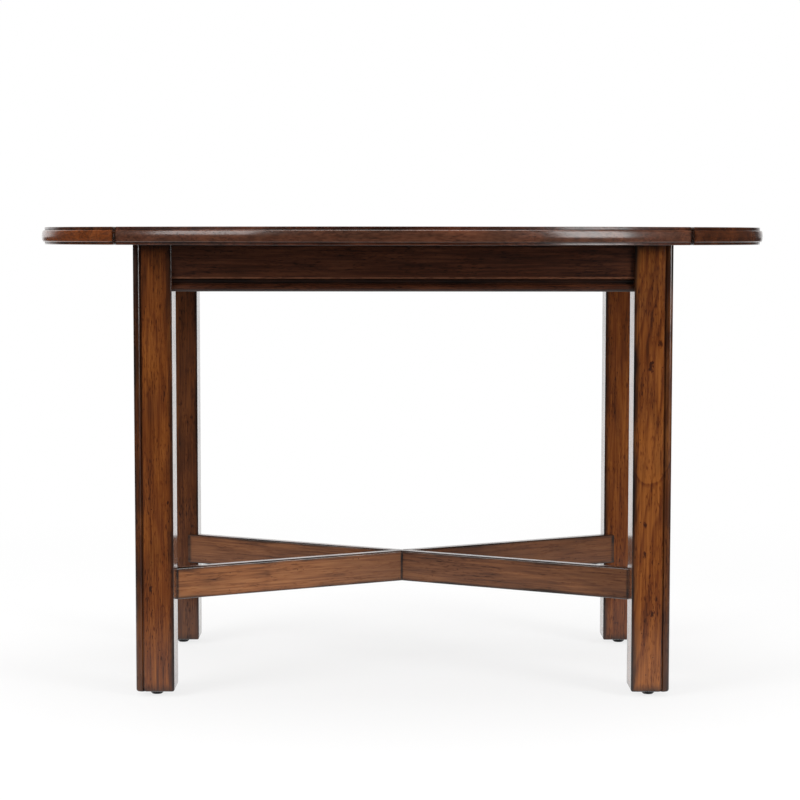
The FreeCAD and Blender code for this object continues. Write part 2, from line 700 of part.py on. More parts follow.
def make_stretchers():
    """Two boards on edge, notched over the leg corners and half lapped where they cross."""
    lean_x, lean_y = stretcher_lean(0)
    sine = f"(2 * {lean_x} * {lean_y})"
    cosine = f"({lean_x}^2 - {lean_y}^2)"
    wedge = "notch_side"
    angle = math.degrees(math.atan2(size(lean_y), size(lean_x)))
    half_lap = "((stretcher_thick + lap_gap) / 2)"
    top = "stretcher_level + stretcher_high + cut_clear"
    wide = "stretcher_thick"
    for label, hand, level, normal in (
        ("stretcher_lower_lap", 1, "stretcher_level + stretcher_high", UP),
        ("stretcher_upper_lap", -1, "stretcher_level", DOWN),
    ):
        body = new_body(label, turn=hand * angle)
        board = new_sketch(body, "board", ("0", "0", "stretcher_level"), (0, 1, 0), (1, 0, 0))
        sides = ("-stretcher_thick / 2", "stretcher_thick / 2", "0", "stretcher_high")
        draw_round_box(board, *sides, "stretcher_ease")
        pad(body, board, f"2 * ({DIAGONAL} + stretcher_spare)", "Symmetric")
        for end, name in ((1, "far"), (-1, "near")):
            notch = new_sketch(body, f"notch_{name}", ("0", "0", top))
            draw(notch, (
                (f"{end} * {DIAGONAL}", "0"),
                (f"{end} * ({DIAGONAL} + {wedge} * {lean_x})", f"{-end * hand} * {wedge} * {lean_y}"),
                (f"{end} * ({DIAGONAL} + {wedge} * {lean_y})", f"{end * hand} * {wedge} * {lean_x}"),
            ))
            pocket(body, notch, "stretcher_high + 2 * cut_clear")
            start = (f"{end} * ({DIAGONAL} + stretcher_spare)", "0", DOWEL_LEVEL)
            depth = "dowel_rail + stretcher_spare + fit_gap"
            bore(body, f"dowel_hole_{name}", start, (-end, 0, 0), "dowel_wide + 2 * fit_gap", depth)
        lap = new_sketch(body, "lap", ("0", "0", level), normal=normal)
        draw(lap, [
            (f"({edge} * {half_lap} - ({row} * {wide}) * {cosine}) / {sine}", f"{row} * {wide}")
            for edge, row in ((-1, -1), (1, -1), (1, 1), (-1, 1))
        ])
        pocket(body, lap, "(stretcher_high + lap_gap) / 2")


def make_dowels():
    for corner, turn, x_sign, y_sign in CORNERS:
        lean = stretcher_lean(turn)
        origin = (f"{x_sign} * {STAND_X}", f"{y_sign} * {STAND_Y}", DOWEL_LEVEL)
        body = new_body(f"stretcher_dowel_{corner}", origin, turn)
        heading = Vector(size(lean[0]), size(lean[1]), 0)
        start = [f"-dowel_rail * {part}" for part in lean] + ["0"]
        section = new_sketch(body, "section", start, (heading.y, -heading.x, 0), heading)
        draw_circle(section, "0", "0", "dowel_wide")
        pad(body, section, "dowel_leg + dowel_rail")


def make_corner_blocks():
    inset = RAIL_INSET
    reach = f"({inset} + block_arm)"
    for corner, turn, x_sign, y_sign in CORNERS:
        origin = (f"{x_sign} * {STAND_X}", f"{y_sign} * {STAND_Y}", "0")
        body = new_body(f"corner_block_{corner}", origin, turn)
        plan = new_sketch(body, "plan", ("0", "0", "block_level"))
        draw(plan, (
            (inset, f"-{inset}"), (f"-{inset}", inset), (f"-{reach}", inset), (inset, f"-{reach}"),
        ))
        pad(body, plan, "block_high")
        back = f"-({reach})"
        bore(
            body, "bolt_hole", (back, back, BLOCK_MIDDLE), (1, 1, 0),
            "bolt_wide + block_play", f"2 * {reach} * sqrt(2)",
        )
        for name, start, heading in (
            ("x", (back, f"-{BLOCK_SCREW}", BLOCK_MIDDLE), (1, 0, 0)),
            ("y", (f"-{BLOCK_SCREW}", back, BLOCK_MIDDLE), (0, 1, 0)),
        ):
            wide = "screw_head + block_play"
            narrow = "screw_wide + block_play"
            bore(body, f"seat_{name}", start, heading, wide, f"{reach} + block_screw_seat")
            bore(body, f"hole_{name}", start, heading, narrow, f"{reach} + {inset} + cut_clear")


def bolt_places():
    """The hanger bolts' places, with +Z out along the diagonal of the leg."""
    places = []
    for _, turn, x_sign, y_sign in CORNERS:
        corner = spot((f"{x_sign} * {STAND_X}", f"{y_sign} * {STAND_Y}", BLOCK_MIDDLE), turn)
        places.append(corner.multiply(Placement(Vector(), Rotation(Vector(UP), Vector(1, 1, 0)))))
    return places


def make_corner_fasteners():
    """Hanger bolts from the leg corners back through the blocks, with their washers and nuts."""
    places = bolt_places()
    face = "block_arm / sqrt(2)"
    stack = size(f"{face} + washer_thick + nut_high")
    tail = stack + size("bolt_wide / 2")
    bolt = Part.makeCylinder(size("bolt_wide") / 2, tail + size("bolt_leg"), Vector(0, 0, -tail))
    new_group("hanger_bolts", bolt, places)
    opening = Part.makeCylinder(size("bolt_wide / 2 + fit_gap"), tail, Vector(0, 0, -tail))
    washer = Part.makeCylinder(size("washer_wide") / 2, size("washer_thick"))
    washer.translate(Vector(0, 0, -size(f"{face} + washer_thick")))
    new_group("hanger_washers", washer.cut(opening), places)
    corner = Vector(size("nut_across") / math.sqrt(3), 0, -stack)
    turns = [Rotation(Vector(UP), 360 / NUT_SIDES * step) for step in range(NUT_SIDES)]
    outline = Part.makePolygon([turn.multVec(corner) for turn in turns + turns[:1]])
    nut = Part.Face(outline).extrude(Vector(0, 0, size("nut_high")))
    new_group("hanger_nuts", nut.cut(opening), places)


def make_glides():
    rim = "(glide_wide - glide_flat) / 2"
    for corner, _, x_sign, y_sign in CORNERS:
        plan = (f"{x_sign} * (base_length - leg_size) / 2", f"{y_sign} * (base_depth - leg_size) / 2")
        body = new_body(f"glide_{corner}", plan + ("0",))
        section = new_sketch(body, "section", normal=(0, -1, 0))
        draw(section, (
            ("0", "0"), ("glide_flat / 2", "0"), ("glide_wide / 2", rim),
            ("glide_wide / 2", "glide_high"), ("0", "glide_high"),
        ))
        revolve(body, section, "360")


def check_and_write():
    """Stop at any failed object, then write one file for each piece."""
    doc.recompute()
    for thing in doc.Objects:
        if "Invalid" in thing.State or "Error" in thing.State:
            raise RuntimeError(f"{thing.Label} failed: {thing.State}")
    os.makedirs("parts", exist_ok=True)
    for node in nodes:
        if node.Shape.isNull() or not node.Shape.isValid():
            raise RuntimeError(f"{node.Label} has no valid shape")
    for node in nodes:
        node.Shape.exportStep(f"parts/{node.Label}.step")
    print(len(nodes), "pieces written")


fill_sheet()
make_legs()
make_glides()
make_aprons()
make_corner_blocks()
make_corner_fasteners()
make_stretchers()
make_dowels()
make_tray()
make_cleats()
make_leaves()
make_hinges()
check_and_write()
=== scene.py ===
"""Butler tray table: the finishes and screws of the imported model, and the studio round it."""

import logging
import math
from dataclasses import dataclass, replace
from enum import Enum
from functools import reduce
from typing import Any, Callable, Iterable, Sequence

import bpy
from mathutils import Matrix, Vector


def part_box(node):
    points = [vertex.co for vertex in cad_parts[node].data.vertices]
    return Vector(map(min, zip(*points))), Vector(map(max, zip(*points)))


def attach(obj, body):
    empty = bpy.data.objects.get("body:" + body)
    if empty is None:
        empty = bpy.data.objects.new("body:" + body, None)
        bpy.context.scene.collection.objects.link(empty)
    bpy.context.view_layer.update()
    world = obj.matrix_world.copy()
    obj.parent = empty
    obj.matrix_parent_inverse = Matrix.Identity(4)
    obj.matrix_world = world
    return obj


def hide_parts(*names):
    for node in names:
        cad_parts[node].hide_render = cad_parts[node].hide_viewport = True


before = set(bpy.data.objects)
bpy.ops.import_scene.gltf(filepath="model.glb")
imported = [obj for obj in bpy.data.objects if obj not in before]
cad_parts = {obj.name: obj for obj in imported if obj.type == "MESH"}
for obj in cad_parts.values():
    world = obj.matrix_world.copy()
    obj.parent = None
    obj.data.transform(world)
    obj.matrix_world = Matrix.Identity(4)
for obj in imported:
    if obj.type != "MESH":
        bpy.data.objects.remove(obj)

log = logging.getLogger("butler_tray_table")

Colour = tuple[float, float, float, float]
Triple = tuple[float, float, float]

MM = 0.001
SENSOR = 36.0
CORNERS = ("rear_right", "rear_left", "front_left", "front_right")
SIDES = {"right": Vector((1, 0, 0)), "rear": Vector((0, 1, 0)),
         "left": Vector((-1, 0, 0)), "front": Vector((0, -1, 0))}
NUMBERS, VECTORS = "ShaderNodeMath", "ShaderNodeVectorMath"

HEART_TURN = 137.5  # degrees that the heart of the tree is turned by, from seed to seed
SLOT_START, SLOT_TURN = 0.3, 2.4  # radians: the first screw's slot, and the turn to the next
LEG_SEED, APRON_SEED, STRETCHER_SEED, BLOCK_SEED = 3, 11, 21, 31  # the first seed of each kind
PANEL_SEED, LEAF_SEED, CLEAT_SEED = 41, 51, 61
SEED_SHIFT = (1.37, 0.73, 0.41)  # shift of the figure for each step of the seed
BOARD_SHIFT = (2.0, 0.3, 0.9)  # largest shift of the figure between the boards of a panel
GRAIN_LAYERS = (  # stretch, detail and gain of the streaks, the broad clouds and the fine lines
    ((5, 170, 170), 3.0, 0.45), ((6, 26, 26), 2.0, 0.65), ((16, 430, 430), 2.0, 0.95))
# Grains to the metre of the noises, along, across and through the board
WAVES, CLOUDS, PATCHES = (5, 16, 16), (22, 40, 40), (12, 60, 60)
FLECKS, DASHES, GROUPS = (95, 230, 380), (105, 800, 800), (18, 80, 80)
ARCH_WAVES, RAGGED = (30, 60, 60), (260, 520, 520)
# Distances up to which a line of glaze is whole, and at which it ends; the tip line is painted
# shade at the leaves' tips
LAP_LINE, END_LINE = (1.0 * MM, 2.2 * MM), (1.2 * MM, 3.5 * MM)
BEAD_LINE, TIP_SHADE_LINE = (9.5 * MM, 11.5 * MM), (0.8 * MM, 5 * MM)
BAND_SOFT = 0.4 * MM  # soft edge of a band in a moulding, of glaze and painted shade or of painted highlight
NEAR = 0.02 * MM  # two places that are closer than this are the same
LEVEL, WALL = 0.9, 0.3  # a face lies flat if its normal rises more, and stands if it rises less
SMOOTH_ANGLE, SCREW_SMOOTH, EASE_ANGLE = (math.radians(angle) for angle in (38, 30, 56))


def shade(*channels: int) -> Colour:
    """Turn a display colour of 0 to 255 into the linear colour that a shader takes.

    Args:
        channels: red, green and blue as displayed.

    Returns:
        The linear colour with full alpha.
    """
    parts = [channel / 255 for channel in channels]
    return (*(part / 12.92 if part <= 0.04045 else ((part + 0.055) / 1.055) ** 2.4
              for part in parts), 1.0)


def grey(level: float) -> Colour:
    """Give a linear grey with full alpha."""
    return (level, level, level, 1.0)


WHITE = grey(1.0)


def sign(value: float) -> int:
    """Give 1 for a positive value and -1 for any other."""
    return 1 if value > 0 else -1


def node_box(node: str) -> tuple[Vector, Vector]:
    """Give the middle of a CAD node's box, and half of its sides."""
    low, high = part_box(node)
    return (low + high) / 2, (high - low) / 2


def select_only(thing: bpy.types.Object) -> None:
    """Make one object the only selected and active one."""
    bpy.ops.object.select_all(action="DESELECT")
    thing.select_set(True)
    bpy.context.view_layer.objects.active = thing


def new_object(name: str, data: bpy.types.ID) -> bpy.types.Object:
    """Put a new object with its data into the scene."""
    thing = bpy.data.objects.new(name, data)
    bpy.context.scene.collection.objects.link(thing)
    return thing


def mode(kind: str) -> None:
    """Go to the EDIT or OBJECT mode of the active object."""
    bpy.ops.object.mode_set(mode=kind)


def put_on(thing: bpy.types.Object, material: bpy.types.Material) -> None:
    """Give an object one material all over."""
    thing.data.materials.clear()
    thing.data.materials.append(material)


def apply_modifier(thing: bpy.types.Object, kind: str, **settings: Any) -> None:
    """Add a modifier to an object and apply it.

    Args:
        thing: the object.
        kind: Blender's type of modifier.
        settings: the modifier's settings by name.
    """
    select_only(thing)
    modifier = thing.modifiers.new(kind.lower(), kind)
    for name, value in settings.items():
        setattr(modifier, name, value)
    bpy.ops.object.modifier_apply(modifier=modifier.name)


def pick(thing: bpy.types.Object, wanted: Callable[[Any], bool], kind: str = "FACE") -> None:
    """Select the faces or vertices that a test picks, and stay in edit mode.

    Args:
        thing: the object.
        wanted: the test.
        kind: FACE or VERT.
    """
    if thing.mode == "EDIT":
        mode("OBJECT")
    select_only(thing)
    mode("EDIT")
    bpy.ops.mesh.select_mode(type=kind)
    bpy.ops.mesh.select_all(action="DESELECT")
    mode("OBJECT")
    for element in thing.data.polygons if kind == "FACE" else thing.data.vertices:
        element.select = bool(wanted(element))
    mode("EDIT")


@dataclass(frozen=True)
class Signal:
    """A value in a shader, whose sums add math nodes.

    Attributes:
        sheet: the nodes that it belongs to.
        socket: the output that it comes from.
        kind: the type of node that does its sums.
    """

    sheet: "NodeSheet"
    socket: bpy.types.NodeSocket
    kind: str = NUMBERS

    def sums(self, operation: str, *values: Any, **settings: Any) -> "Signal":
        """Add a math node that works on this value and others."""
        inputs = dict(enumerate((self, *values)))
        node = self.sheet.add(self.kind, inputs, operation=operation, **settings)
        return replace(self, socket=node.outputs[0])

    def __add__(self, other: Any) -> "Signal":
        """Add another value."""
        return self.sums("ADD", other)

    def __sub__(self, other: Any) -> "Signal":
        """Take another value away."""
        return self.sums("SUBTRACT", other)

    def __rsub__(self, other: float) -> "Signal":
        """Take this from a number."""
        return self * -1.0 + other

    def __mul__(self, other: Any) -> "Signal":
        """Multiply by another value."""
        return self.sums("MULTIPLY", other)

    def __abs__(self) -> "Signal":
        """Drop the sign."""
        return self.sums("ABSOLUTE")

    def at_least(self, other: "Signal") -> "Signal":
        """Give the larger of two values."""
        return self.sums("MAXIMUM", other)

    def length(self) -> "Signal":
        """Give the length of a vector."""
        return self.sheet.signal(VECTORS, {0: self}, 1, operation="LENGTH")

    def split(self) -> tuple["Signal", ...]:
        """Give the three numbers of a vector."""
        node = self.sheet.add("ShaderNodeSeparateXYZ", {0: self})
        return tuple(Signal(self.sheet, output) for output in node.outputs)

    def step(self, low: float, high: float, start: float = 0.0, end: float = 1.0) -> "Signal":
        """Step smoothly from start to end, between a low and a high value."""
        inputs = {0: self, 1: low, 2: high, 3: start, 4: end}
        return self.sheet.signal("ShaderNodeMapRange", inputs, interpolation_type="SMOOTHSTEP",
                                 clamp=True)

    def fade(self, near: float, far: float, share: float = 1.0) -> "Signal":
        """Give a share that is whole up to a near value, and gone from a far one on."""
        return self.step(near, far, share, 0.0)

    def ridge(self, low: float, up: float, down: float, high: float, share: float) -> "Signal":
        """Give a share that comes in from low to up, and goes again from down to high."""
        return self.step(low, up, 0.0, share) * self.fade(down, high)


@dataclass
class NodeSheet:
    """Writes the nodes of a material or a world, from left to right.

    Attributes:
        owner: the material or world.
    """

    owner: bpy.types.Material | bpy.types.World

    def __post_init__(self) -> None:
        """Start with an empty tree."""
        self.owner.use_nodes = True
        self.tree = self.owner.node_tree
        self.tree.nodes.clear()

    @classmethod
    def named(cls, name: str) -> "NodeSheet":
        """Start a new material."""
        return cls(bpy.data.materials.new(name))

    def add(self, kind: str, inputs: dict[Any, Any], **settings: Any) -> bpy.types.Node:
        """Add a node.

        Args:
            kind: the node's type.
            inputs: numbers, colours or signals for its inputs, by name or place.
            settings: the node's own settings.

        Returns:
            The new node.
        """
        node = self.tree.nodes.new(kind)
        for name, value in settings.items():
            setattr(node, name, value)
        for key, value in inputs.items():
            if isinstance(value, Signal):
                self.tree.links.new(value.socket, node.inputs[key])
            else:
                node.inputs[key].default_value = value
        return node

    def signal(self, kind: str, inputs: dict[Any, Any], output: int | str = 0,
               sums: str = NUMBERS, **settings: Any) -> Signal:
        """Add a node, and give one of its outputs by place or name."""
        return Signal(self, self.add(kind, inputs, **settings).outputs[output], sums)

    def coords(self, kind: str = "Object") -> Signal:
        """Give the place that is shaded."""
        return self.signal("ShaderNodeTexCoord", {}, kind, VECTORS)

    def vector(self, *parts: Any) -> Signal:
        """Join three numbers into a vector."""
        return self.signal("ShaderNodeCombineXYZ", dict(enumerate(parts)), 0, VECTORS)

    def rays(self, *kinds: str) -> list[Signal]:
        """Tell whether a ray is of some kinds, each by its name."""
        node = self.add("ShaderNodeLightPath", {})
        return [Signal(self, node.outputs[f"Is {kind} Ray"]) for kind in kinds]

    def noise(self, vector: Signal, stretch: Triple, detail: float = 2.0, rough: float = 0.5,
              swirl: bool = False) -> Signal:
        """Give a noise whose grains are stretched.

        Args:
            vector: the place to read it at.
            stretch: grains to the metre along each axis.
            detail: layers of finer noise.
            rough: share of the finer layers.
            swirl: whether to give a vector of three noises.

        Returns:
            The noise, about 0 to 1.
        """
        inputs = {"Vector": vector * stretch, "Scale": 1.0, "Detail": detail, "Roughness": rough}
        output = (1, VECTORS) if swirl else (0, NUMBERS)
        return self.signal("ShaderNodeTexNoise", inputs, *output)

    def ramp(self, value: Signal, stops: Sequence[tuple[float, Colour]]) -> Signal:
        """Give a colour from a ramp."""
        node = self.add("ShaderNodeValToRGB", {0: value})
        marks = node.color_ramp.elements
        while len(marks) < len(stops):
            marks.new(0.5)
        for mark, (place, colour) in zip(marks, stops):
            mark.position = place
            mark.color = colour
        return Signal(self, node.outputs[0])

    def mix(self, share: Signal, first: Any, second: Any, blend: str = "MIX") -> Signal:
        """Mix two colours."""
        inputs = {0: share, 6: first, 7: second}
        return self.signal("ShaderNodeMix", inputs, 2, data_type="RGBA", blend_type=blend)

    def finish(self, base: Any, rough: Any, bump: Signal, depth: float, **sockets: Any) -> None:
        """Close the material with its surface shader.

        Args:
            base: the colour.
            rough: the roughness.
            bump: the height of the surface detail.
            depth: the size of that detail in metres.
            sockets: other sockets of the shader, by name with _ for a space.
        """
        inputs: dict[Any, Any] = {"Base Color": base, "Roughness": rough}
        inputs |= {name.replace("_", " "): value for name, value in sockets.items()}
        relief = {"Height": bump, "Strength": 1.0, "Distance": depth}
        inputs["Normal"] = self.signal("ShaderNodeBump", relief)
        surface = self.signal("ShaderNodeBsdfPrincipled", inputs)
        self.add("ShaderNodeOutputMaterial", {0: surface})


class Grain(Enum):
    """The way of a board's grain: the turn of its pattern, and its box's sides in that order."""

    ALONG_X = ((0.0, 0.0, 0.0), (0, 1, 2))
    ALONG_Y = ((0.0, 0.0, math.radians(90)), (1, 0, 2))
    ALONG_Z = ((0.0, math.radians(-90), 0.0), (2, 1, 0))


@dataclass(frozen=True)
class Band:
    """A level of a moulding in metres, and the share laid there: of glaze and painted shade in the
    glazed bands, of painted highlight in the lit ones.
    """

    low: float
    high: float
    share: float

    def lifted(self, height: float) -> "Band":
        """Give the band at another height."""
        return Band(self.low + height, self.high + height, self.share)


@dataclass(frozen=True)
class Knot:
    """A small knot: its place along and across the board, and its radius, in metres."""

    along: float
    across: float
    radius: float


@dataclass(frozen=True)
class Board:
    """The place of one piece of timber, for the pattern on it.

    Attributes:
        centre: the middle of the board in metres.
        half: half of its length, and of its two other sides, in the frame of the grain.
        turn: the turn of the grain from the X axis.
        seed: a number that makes its figure differ from its neighbours'.
        pith: how far the heart of the tree lies from the board's middle.
        lean: how far the grain leans, which draws the arches.
        arches: how strongly the year rings show.
        squared: whether it is a plain square board with glazed arrises.
        bead: the signs of the corner that is beaded, or None.
        bands: the levels of its mouldings that get glaze and painted shade.
        rubbed: the levels at which a painted highlight is screened onto an arris or an edge band.
        knots: the knots that show.
        arch: the foot of an arch of paler wood, along and across, and its curve, or None.
        arc: the middle and radius of a rounded edge, or None.
        legs: how far from its middle lie the inner faces of the legs that it runs to, or None.
        lap: the normal and half thickness of the board that is lapped into it, or None.
        painted_far_end_shade: painted shade: how much darker the wood is painted towards its far
            end.
    """

    centre: Vector
    half: Triple
    turn: Triple
    seed: int
    pith: float = 0.055
    lean: float = 0.03
    arches: float = 0.10
    squared: bool = True
    bead: tuple[int, int] | None = None
    bands: tuple[Band, ...] = ()
    rubbed: tuple[Band, ...] = ()
    knots: tuple[Knot, ...] = ()
    arch: Triple | None = None
    arc: Triple | None = None
    legs: tuple[float, float] | None = None
    lap: Triple | None = None
    painted_far_end_shade: float = 0.0

    @classmethod
    def of(cls, node: str, grain: Grain, seed: int, **more: Any) -> "Board":
        """Find the timber of a CAD node.

        Args:
            node: the node.
            grain: the way of its grain.
            seed: its own number.
            more: other fields by name.

        Returns:
            The board.
        """
        middle, half = node_box(node)
        turn, order = grain.value
        return cls(middle, tuple(half[i] for i in order), turn, seed, **more)


@dataclass(frozen=True)
class WoodFinish:
    """Stained cherry under a hand-rubbed dark glaze and a satin lacquer, with painted shade and
    painted highlights.

    Attributes:
        name: the finish's name.
        dark: colour of the latewood and streaks.
        mid: colour of most of the wood.
        light: colour of the palest wood.
        glaze_and_shade: colour of the glaze along edges, and of the glaze and painted shade in
            mouldings, at the ends of boards and at the leaves' tips.
        wear_and_painted_highlight: colour of the painted highlight that is screened onto an arris
            or a leaf's edge band.
        ring: width of a year ring in metres.
        edge: width of the glaze along an arris in metres.
        end: width of the glaze and painted shade at the ends of a board in metres.
        glaze_and_shade_share: strength of the glaze and of the painted shade.
        patches: share of the glaze in broad patches on the flat.
        rough: roughness of the wood under its lacquer.
        coat: share of the lacquer.
        coat_rough: roughness of the lacquer.
        relief: depth of the pores in metres.
        pores: how much darker the pores are.
        board_wide: width of the boards that a panel is glued from, or 0 for one board.
    """

    name: str
    dark: Colour
    mid: Colour
    light: Colour
    glaze_and_shade: Colour = shade(24, 13, 9)
    wear_and_painted_highlight: Colour = shade(136, 92, 68)
    ring: float = 9 * MM
    edge: float = 7 * MM
    end: float = 14 * MM
    glaze_and_shade_share: float = 0.95
    patches: float = 0.35
    rough: float = 0.36
    coat: float = 1.0
    coat_rough: float = 0.15
    relief: float = 0.025 * MM
    pores: float = 0.34
    board_wide: float = 0.0

    def dress(self, thing: bpy.types.Object, board: Board) -> None:
        """Write the material of one piece of timber and put it on."""
        sheet = NodeSheet.named(f"{self.name}_{thing.name}")
        put_on(thing, WoodPattern(self, board, sheet).material())


@dataclass
class WoodPattern:
    """Writes the wood, the glaze with its painted shade and painted highlights, and the lacquer of
    one board.

    Attributes:
        finish: the finish on the board.
        board: the board.
        sheet: the nodes of its material.
    """

    finish: WoodFinish
    board: Board
    sheet: NodeSheet

    def __post_init__(self) -> None:
        """Find the place on the table and on the board, and shift the figure of each board."""
        sheet, board, wide = self.sheet, self.board, self.finish.board_wide
        self.coords = sheet.coords()
        mapping = {0: self.coords, 1: tuple(board.centre), 2: board.turn}
        self.place = sheet.signal("ShaderNodeMapping", mapping, 0, VECTORS, vector_type="TEXTURE")
        self.axes = self.place.split()
        self.seeded = self.place + tuple(board.seed * shift for shift in SEED_SHIFT)
        if wide:
            count = self.axes[1].sums("DIVIDE", wide).sums("FLOOR")
            chance = sheet.signal("ShaderNodeTexWhiteNoise", {"W": count}, 1, VECTORS,
                                  noise_dimensions="1D")
            self.seeded = self.seeded + chance * BOARD_SHIFT

    def noise(self, stretch: Triple, detail: float = 2.0, rough: float = 0.5) -> Signal:
        """Give a noise of the board's own."""
        return self.sheet.noise(self.seeded, stretch, detail, rough)

    def level(self, band: Band) -> Signal:
        """Give the share of a level of a moulding."""
        low, high = band.low, band.high
        return self.axes[2].ridge(low, low + BAND_SOFT, high - BAND_SOFT, high, band.share)

    def material(self) -> bpy.types.Material:
        """Write the material from the bare wood up.

        Returns:
            The material.
        """
        sheet, board, finish = self.sheet, self.board, self.finish
        long, _, top = board.half
        tone, pores = self.figure()
        colour = sheet.ramp(tone, ((0.12, finish.dark), (0.48, finish.mid), (0.88, finish.light)))
        # Painted shade: the wood is painted darker towards the board's far end
        if board.painted_far_end_shade:
            far = self.axes[0].step(-0.9 * long, 0.3 * long, 0.0, board.painted_far_end_shade)
            colour = sheet.mix(far, colour, finish.dark)
        specks = self.specks()
        # Glaze, with painted shade at the ends, in the mouldings and at the tips, and dark specks
        glaze_and_shade, dull = self.glaze_and_shade_masks()
        colour = sheet.mix(glaze_and_shade.at_least(specks * 0.9), colour, finish.glaze_and_shade)
        # Painted highlights: pale light screened onto an arris or a leaf's edge band, broken up by
        # flecks
        for band in board.rubbed:
            flecks = self.noise(FLECKS).step(0.40, 0.56, 0.45, 1.0)
            colour = sheet.mix(self.level(band) * flecks, colour, finish.wear_and_painted_highlight, "SCREEN")
        cloud = self.noise(CLOUDS, 3.0)
        rough = cloud.step(0.25, 0.75, finish.rough - 0.06, finish.rough + 0.08)
        height = tone * 0.25 - (pores + specks)
        coat = (dull * (-0.85 * finish.coat) + finish.coat) * pores.step(0.0, 1.0, 1.0, 0.5)
        if finish.board_wide:  # the top of the table is rubbed duller than its edges
            coat = coat * self.axes[2].step(top - 0.3 * MM, top - 0.1 * MM, 1.0, 0.15)
        sheet.finish(colour, rough, height, finish.relief, Specular_IOR_Level=0.15, IOR=1.5,
                     Coat_Weight=coat, Coat_Roughness=finish.coat_rough, Coat_IOR=1.4)
        return sheet.owner

    def figure(self) -> tuple[Signal, Signal]:
        """Draw the rings, streaks, knots and pores.

        Returns:
            The tone from dark to light, and the pores.
        """
        bend = self.sheet.noise(self.seeded, WAVES, 3.0, swirl=True) - (0.5, 0.5, 0.5)
        bend = bend * (0.0, 0.035, 0.035)
        tone = self.rings(bend) * self.board.arches + 0.46
        for stretch, detail, gain in GRAIN_LAYERS:
            tone = tone + (self.noise(stretch, detail, 0.6) - 0.5) * gain
        if self.board.arch:
            tone = tone + self.arch(*self.board.arch)
        for knot in self.board.knots:
            tone = tone + self.knot(knot, bend)
        pores = self.noise(DASHES, 1.0).step(0.54, 0.64) * self.noise(GROUPS).step(0.34, 0.60)
        return tone - pores * self.finish.pores, pores

    def rings(self, bend: Signal) -> Signal:
        """Draw the wavy year rings about the heart of the tree."""
        turn = math.radians(HEART_TURN * self.board.seed)
        aside = (math.cos(turn), math.sin(turn))
        leaning = [self.axes[0] * (self.board.lean * part) for part in aside]
        heart = (0.0, *(self.board.pith * part for part in aside))
        spot = self.place + self.sheet.vector(0.0, *leaning) + heart + bend
        year = (spot * (0.0, 1.0, 1.0)).length().sums("DIVIDE", self.finish.ring).sums("FRACT")
        return year.step(0.0, 0.15) - year.step(0.55, 1.0)

    def arch(self, foot: float, middle: float, curve: float) -> Signal:
        """Draw an arch of paler wood, and a dark line under it, on a bowl of rings.

        Args:
            foot: the lowest point of the arch along the board.
            middle: its place across the board.
            curve: how sharply it curves.

        Returns:
            The change of the tone.
        """
        side, inward = self.axes[2] - middle, self.axes[1] + self.board.half[1]
        bowl = (side * side + inward * inward) * curve
        rise = self.axes[0] - foot - bowl + self.noise(ARCH_WAVES) * (8 * MM)
        pale = rise.ridge(0.0, 2 * MM, 15 * MM, 130 * MM, 0.16)
        return pale + rise.ridge(-7 * MM, -1 * MM, -1 * MM, 1 * MM, -0.2)

    def knot(self, knot: Knot, bend: Signal) -> Signal:
        """Give the change of the tone by a small ragged knot."""
        along = (self.axes[0] - knot.along) * 0.5
        aside = self.sheet.vector(along, self.axes[2] - knot.across, 0.0) + bend * (0.0, 0.12, 0.0)
        ragged = (self.noise(RAGGED) - 0.5) * (1.6 * knot.radius)
        return (aside.length() + ragged).step(0.3 * knot.radius, 0.8 * knot.radius, -0.6, 0.0)

    def specks(self) -> Signal:
        """Scatter small dark specks and worm holes."""
        cells = self.sheet.add("ShaderNodeTexVoronoi", {"Vector": self.seeded, "Scale": 130.0})
        away, chance = (Signal(self.sheet, cells.outputs[name]) for name in ("Distance", "Color"))
        chosen = self.sheet.signal("ShaderNodeSeparateColor", {0: chance}).step(0.72, 0.74)
        return away.fade(0.07, 0.12) * chosen

    def glaze_and_shade_masks(self) -> tuple[Signal, Signal]:
        """Lay the glaze along arrises, and glaze and painted shade at the ends, in the mouldings
        and at the leaves' tips.

        Returns:
            The share of the glaze and painted shade, and how far it dulls the lacquer in the
            mouldings.
        """
        board, edge = self.board, self.finish.edge
        gaps = [half - abs(axis) for half, axis in zip(board.half, self.axes)]
        wander = self.noise(PATCHES, 3.0)
        shares = [wander.step(0.50, 0.80, 0.0, self.finish.patches)]
        # Glaze and painted shade in the quirks, coves and undersides of the mouldings; they also
        # dull the lacquer
        deep = [self.level(band) for band in board.bands]
        if board.legs and board.lap:
            right, back, _ = (self.coords - board.centre).split()
            gaps[0] = (board.legs[0] - abs(right)).at_least(board.legs[1] - abs(back))
            seam = abs(abs(right * board.lap[0] + back * board.lap[1]) - board.lap[2])
            shares.append(seam.fade(*LAP_LINE) * gaps[2].step(0.6 * MM, 1.2 * MM))
        if board.squared:
            arris = gaps[1].at_least(gaps[2])
            ragged = arris - (wander - 0.5) * (12 * MM)
            # Glaze along the arrises; at the ends, glaze and painted shade where the board meets
            # other parts, and a dark joint line
            shares += [ragged.fade(0.0, edge, 0.85), arris.fade(0.15 * edge, 0.6 * edge),
                       gaps[0].fade(0.0, self.finish.end, 0.8), gaps[0].fade(*END_LINE)]
        if board.bead:
            sides = [self.axes[i] * -board.bead[i - 1] + board.half[i] for i in (1, 2)]
            shares.append(sides[0].at_least(sides[1]).fade(*BEAD_LINE, 0.8))
        if board.arc:
            middle = (board.arc[0] - board.centre.x, board.arc[1] - board.centre.y, 0.0)
            gap = board.arc[2] - (self.place * (1.0, 1.0, 0.0) - middle).length()
            shares.append(gap.fade(3 * MM, 3 * MM + edge, 0.75))
